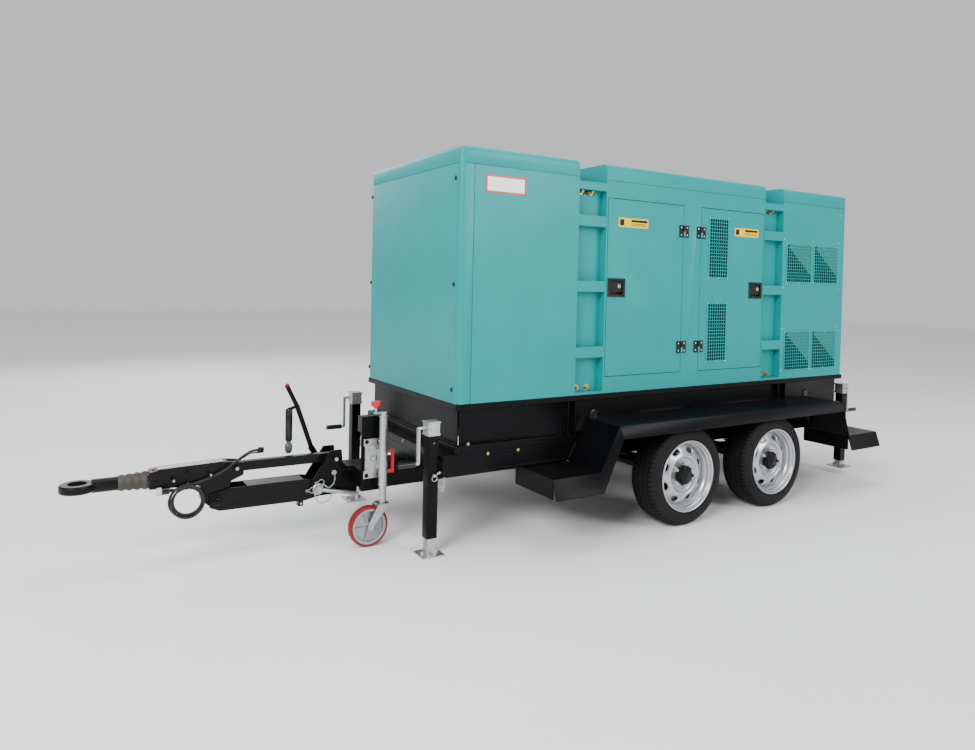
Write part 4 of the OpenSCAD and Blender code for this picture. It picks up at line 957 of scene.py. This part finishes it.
def jockey_roller():
    """Cast wheel with a thin web, five ribs on each side and a moulded red tread."""
    b = Build("jockey_roller")
    mid = Vector((FRONT_X - J_WHEEL_S, J_Y, J_HUB_Z))
    b.lathe(prof(*ROLLER_CORE), mid * MM, (0, 1, 0), CASTING, 72, closed=True)
    b.lathe(prof(*ROLLER_TREAD), mid * MM, (0, 1, 0), RED_TREAD, 96, closed=True)
    for k in range(5):
        a = math.radians(72 * k + 20)
        way, across = Vector((math.sin(a), 0, math.cos(a))), Vector((math.cos(a), 0, -math.sin(a)))
        for sg in (1, -1):
            foot = mid + way * 18 + Vector((0, sg * 3, 0))
            tip = mid + way * 84 + Vector((0, sg * 3, 0))
            outline = (foot, tip, tip + Vector((0, sg * 15, 0)), foot + Vector((0, sg * 21, 0)))
            b.prism([(p - across * 3.5) * MM for p in outline], across * 7 * MM, CASTING)
    return b.done("jockey_wheel", bevel=0.8 * MM)


roller = jockey_roller()
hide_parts("jockey_wheel")


def jockey_fittings():
    b = Build("jockey_bracket_bolts")
    for s in (-352, -312):
        for z in (416, 534):
            b.hex_bolt(P(s, 252, z), (0, 1, 0), 12 * MM, ZINC, ZINC, 0.5)
    b.rod(P(-318, 252, 475), P(-318, 262, 475), 14 * MM, ZINC, 28, 2 * MM)
    # Clamp bands round the tube, and its rolled upper rim
    for z in (446, 508):
        band = prof((24.2, -9), (26.4, -9), (26.4, 9), (24.2, 9))
        b.lathe(band, P(J_S, J_Y, z), (0, 0, 1), ZINC, 40, closed=True)
    for z in (332, 716):
        lip = prof((24, -3), (25.6, -2), (26.2, 0), (25.6, 2), (24, 3))
        b.lathe(lip, P(J_S, J_Y, z), (0, 0, 1), ZINC, 40, closed=True)
    b.rod(P(J_S, J_Y + 24, 640), P(J_S, J_Y + 31, 640), 4 * MM, BRASS, 12, 1 * MM)
    b.done("jockey_tube", bevel=0.5 * MM)
    b = Build("jockey_wheel_fittings")
    for sg in (1, -1):
        b.lathe(prof((0, 0), (19, 0), (21, 2), (20, 5), (14, 8), (0, 8)),
                P(J_WHEEL_S, J_Y + sg * 26, J_HUB_Z), (0, sg, 0), PLASTIC, 32)
    b.done("jockey_wheel", bevel=0.3 * MM)
    b = Build("jockey_axle_nut")
    for sg in (1, -1):
        b.hex_bolt(P(J_WHEEL_S, J_Y + sg * 38, J_HUB_Z), (0, sg, 0), 24 * MM, ZINC, ZINC, 0.5)
    b.done("jockey_fork", bevel=0.5 * MM)


jockey_fittings()

# ------------------------------------------------------------------ drawbar
ARM_REAR, ARM_FRONT = (-574, 292), (-1115, 296)
LINK_REAR, LINK_FRONT = (-472, 451), (-1013, 455)
EYE_Z = 434

for node, bevel in (("drawbar_arm", 3), ("overrun_head", 3), ("tow_eye", 2.5), ("drawbar_link", 3)):
    skin(node, [CAST], bevel=bevel)


def lever_faces(c, n):
    """Red grip at the lever's top, and the strut's grey lower tube."""
    s = FRONT_X - c.x
    if c.z > 859 and abs(s + 708) < 9.5 and n.z > -0.5:
        return 1
    if abs(s + 696) < 13.4 and c.z < 612:
        return 2
    return 0


skin("brake_lever", [BLACK, RED, GREY_TUBE], lever_faces, bevel=2)
bellows = skin("bellows", [BELLOWS], bevel=2, angle=30, segments=3, ride=False)
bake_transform(bellows)


def split_pin(b, at, mat, size=16):
    """Round-ended retaining clip lying on its pin's end."""
    x, y, z = at
    turns = [math.radians(20 + 320 * k / 20) for k in range(21)]
    ring = [Vector((x + size * math.cos(a), y, z + size * math.sin(a))) for a in turns]
    ends = [Vector((x + size * 2.4, y, z + dz)) for dz in (3, -5)]
    b.tube([p * MM for p in [ends[0]] + ring + [ends[1]]], 2.1 * MM, mat, 8)


def head_fittings():
    b = Build("head_fittings")
    # Glossy cover plate over the head, with rivets and a red wear mark
    (s0, z0), (s1, z1) = (-1396, 486.5), (-1078, 494)
    b.prism([P(s0, -39, z0), P(s1, -39, z1), P(s1, 39, z1), P(s0, 39, z0)], Vector((0, 0, 3.4)) * MM, GLOSS)
    for s in (-1380, -1300, -1220, -1140, -1094):
        for y in (-31, 31):
            b.dome(P(s, y, z0 + 3.5 + (s - s0) / (s1 - s0) * (z1 - z0)), (0, 0, 1), 5 * MM, STEEL, 0.45)
    b.rod(P(-1412, 0, 476), P(-1412, 0, 489), 9 * MM, RED, 24, 2 * MM)
    # Bolt heads on the side of the head and at the link's front pin
    for s, z in ((-1405, 430), (-1260, 462)):
        b.hex_bolt(P(s, 45, z), (0, 1, 0), 15 * MM, CAST, CAST, 0.5)
        b.hex_bolt(P(s, -45, z), (0, -1, 0), 15 * MM, CAST, CAST, 0.5)
    for sg in (1, -1):
        b.hex_bolt(P(LINK_FRONT[0], sg * 52.8, LINK_FRONT[1]), (0, sg, 0), 22 * MM, ZINC, CAST, 0.5)
        b.box(P(-1425, sg * 44, 398), P(-1212, sg * 48, 407), CAST)
    # Clip and lock nut of the cable's gland
    b.lathe(prof((7, 0), (15, 0), (16, 3), (15, 7), (10, 9), (9, 16), (7, 16)), P(-886, 26, 537), (1, 0, 0),
            PLASTIC, 12)
    for s, z in ((-1328, 433), (-1149, 442)):
        b.hex_bolt(P(s, 78.6, z), (0, 1, 0), 13 * MM, ZINC, CAST, 0.4)
    # Cable tie round the coil's top
    b.lathe(prof((19.4, -3), (20.6, -3), (20.6, 3), (19.4, 3)), P(-1262, 70, 398), (1, 0, 0.04), PLASTIC, 28,
            closed=True)
    # Bellows clamp
    b.lathe(prof((41, -5), (45.6, -5), (45.6, 5), (41, 5)), P(-1441, 0, EYE_Z), (1, 0, 0), PLASTIC, 48,
            closed=True)
    b.done("overrun_head", bevel=0.7 * MM)


def arm_fittings():
    b = Build("arm_fittings")
    front_s, front_z = ARM_FRONT
    for sg in (1, -1):
        # Serrated washer and bolt of the front pivot
        for k in range(20):
            a = math.radians(18 * k)
            mid = P(front_s, sg * 70, front_z)
            tooth = Vector((math.sin(a), 0, math.cos(a))) * 29 * MM
            b.rod(mid + tooth, mid + tooth + Vector((0, sg * 4, 0)) * MM, 3.4 * MM, CAST, 10)
        b.rod(P(front_s, sg * 69, front_z), P(front_s, sg * 74.4, front_z), 28 * MM, CAST, 40, 1 * MM)
        b.hex_bolt(P(front_s, sg * 74, front_z), (0, sg, 0), 44 * MM, CAST, None, 0.45)
        # Stiffening bead along the arm's side, and its chamfered doubler at the front
        b.tube([P(-700, sg * 60, 262), P(-1030, sg * 60, 268)], 2.4 * MM, CAST, 8)
        doubler = ((-1138, 268), (-1104, 250), (-1040, 250), (-1040, 344), (-1122, 322))
        b.prism([P(s, sg * 60, z) for s, z in doubler], Vector((0, sg * 4, 0)) * MM, CAST)
        for s in (-1060, -990, -690):
            b.dome(P(s, sg * 60, 330), (0, sg, 0), 6 * MM, CAST)
    # Tab under the arm
    b.box(P(-668, -20, 190), P(-640, 20, 240), CAST)
    b.rod(P(-654, -26, 206), P(-654, 26, 206), 7 * MM, ZINC, 20, 1 * MM)
    b.done("drawbar_arm", bevel=0.9 * MM)


def spine_fittings():
    b = Build("spine_fittings")
    for sg in (1, -1):
        b.hex_bolt(P(LINK_REAR[0], sg * 77, LINK_REAR[1]), (0, sg, 0), 24 * MM, ZINC, CAST, 0.5)
    b.hex_bolt(P(ARM_REAR[0], -71, ARM_REAR[1]), (0, -1, 0), 50 * MM, ZINC, ZINC, 0.5)
    # Screw-down handle through the arm's rear pivot: threaded bar, collar and cross handle
    mid = P(ARM_REAR[0], 71, ARM_REAR[1])
    b.rod(mid, mid + Vector((0, 12, 0)) * MM, 32 * MM, ZINC, 36, 2 * MM)
    b.hex_bolt(mid + Vector((0, 12, 0)) * MM, (0, 1, 0), 44 * MM, ZINC, None, 0.5)
    grip = [P(-560, 92, 290), P(-500, 96, 276), P(-430, 99, 262), P(-345, 100, 243)]
    b.tube(smooth_path(grip, 5), 11 * MM, ZINC, 16)
    b.rod(P(-352, 100, 205), P(-344, 100, 285), 9 * MM, ZINC, 20, 2 * MM)
    for z, x in ((292, -610), (330, -560)):
        split_pin(b, (FRONT_X - x, 88, z), ZINC)
    chain(b, [P(-600, 90, 282), P(-585, 95, 232), P(-545, 95, 214), P(-505, 92, 240), P(-490, 90, 282)], ZINC)
    chain(b, [P(-545, 92, 318), P(-520, 96, 296), P(-488, 92, 318), P(-480, 90, 360)], ZINC)
    b.hex_bolt(P(-480, 71, 372), (0, 1, 0), 18 * MM, ZINC, ZINC, 0.5)
    # Breakaway cable along the spine, in clips
    lead = [P(-440, 78, 386), P(-330, 79, 380), P(-200, 79, 366), P(-80, 79, 372), P(60, 79, 366)]
    b.tube(smooth_path(lead, 6), 3.2 * MM, RUBBER, 10)
    for s in (-330, -80):
        b.box(P(s - 7, 74.5, 362), P(s + 7, 83.5, 386), PLASTIC)
    b.done("trailer", bevel=0.6 * MM)


def lever_fittings():
    b = Build("lever_fittings")
    b.hex_bolt(P(-532, -104, 440), (0, -1, 0), 26 * MM, ZINC, ZINC, 0.5)
    b.hex_bolt(P(-650, -100, 740), (0, -1, 0), 18 * MM, ZINC, ZINC, 0.5)
    # Dust sleeve over the strut, and its lower cap
    sleeve = prof((12, 0), (18, 0), (20, 4), (20, 176), (17, 182), (12, 182))
    b.lathe(sleeve, P(-696, -94, 545), (0, 0, 1), PLASTIC, 32)
    cap = prof((0, 0), (13, 0), (20, 12), (21, 22), (21, 44), (16, 52), (12, 52))
    b.lathe(cap, P(-696, -94, 474), (0, 0, 1), GREY_TUBE, 32)
    b.done("brake_lever", bevel=0.5 * MM)


head_fittings()
arm_fittings()
spine_fittings()
lever_fittings()

# ------------------------------------------------------------------ floor and light
floor_mat = material("studio_floor", (0.90, 0.90, 0.90), 0.75, mottle=0.01, bump=0.02, bump_scale=30)


def make_stage():
    mesh = bpy.data.meshes.new("studio_floor")
    half, n = 30.0, 12
    ticks = [-half + 2 * half * i / n for i in range(n + 1)]
    verts = [(x, y, 0) for y in ticks for x in ticks]
    faces = [(j * (n + 1) + i, j * (n + 1) + i + 1, (j + 1) * (n + 1) + i + 1, (j + 1) * (n + 1) + i)
             for j in range(n) for i in range(n)]
    mesh.from_pydata(verts, [], faces)
    mesh.materials.append(floor_mat)
    floor = bpy.data.objects.new("studio_floor", mesh)
    bpy.context.scene.collection.objects.link(floor)

    def area(name, at, to, size, power):
        light = bpy.data.lights.new(name, "AREA")
        light.shape = "DISK"
        light.size = size
        light.energy = power
        lamp = bpy.data.objects.new(name, light)
        bpy.context.scene.collection.objects.link(lamp)
        at, to = Vector(at), Vector(to)
        lamp.matrix_world = Matrix.Translation(at) @ (to - at).to_track_quat("-Z", "Y").to_matrix().to_4x4()

    area("key", (7.0, 4.5, 5.5), (0.4, 0, 1.1), 3.5, 700)
    area("side", (-3.5, 8.0, 4.5), (-0.6, 0, 1), 4.0, 400)
    area("top", (0, 0, 9.0), (0, 0, 0), 6.0, 420)
    area("far", (1.5, -8.0, 5.0), (0, 0, 1), 6.0, 260)
    world = bpy.data.worlds.new("studio")
    world.use_nodes = True
    world.node_tree.nodes["Background"].inputs["Color"].default_value = (0.96, 0.97, 1.0, 1)
    world.node_tree.nodes["Background"].inputs["Strength"].default_value = 0.72
    bpy.context.scene.world = world


make_stage()
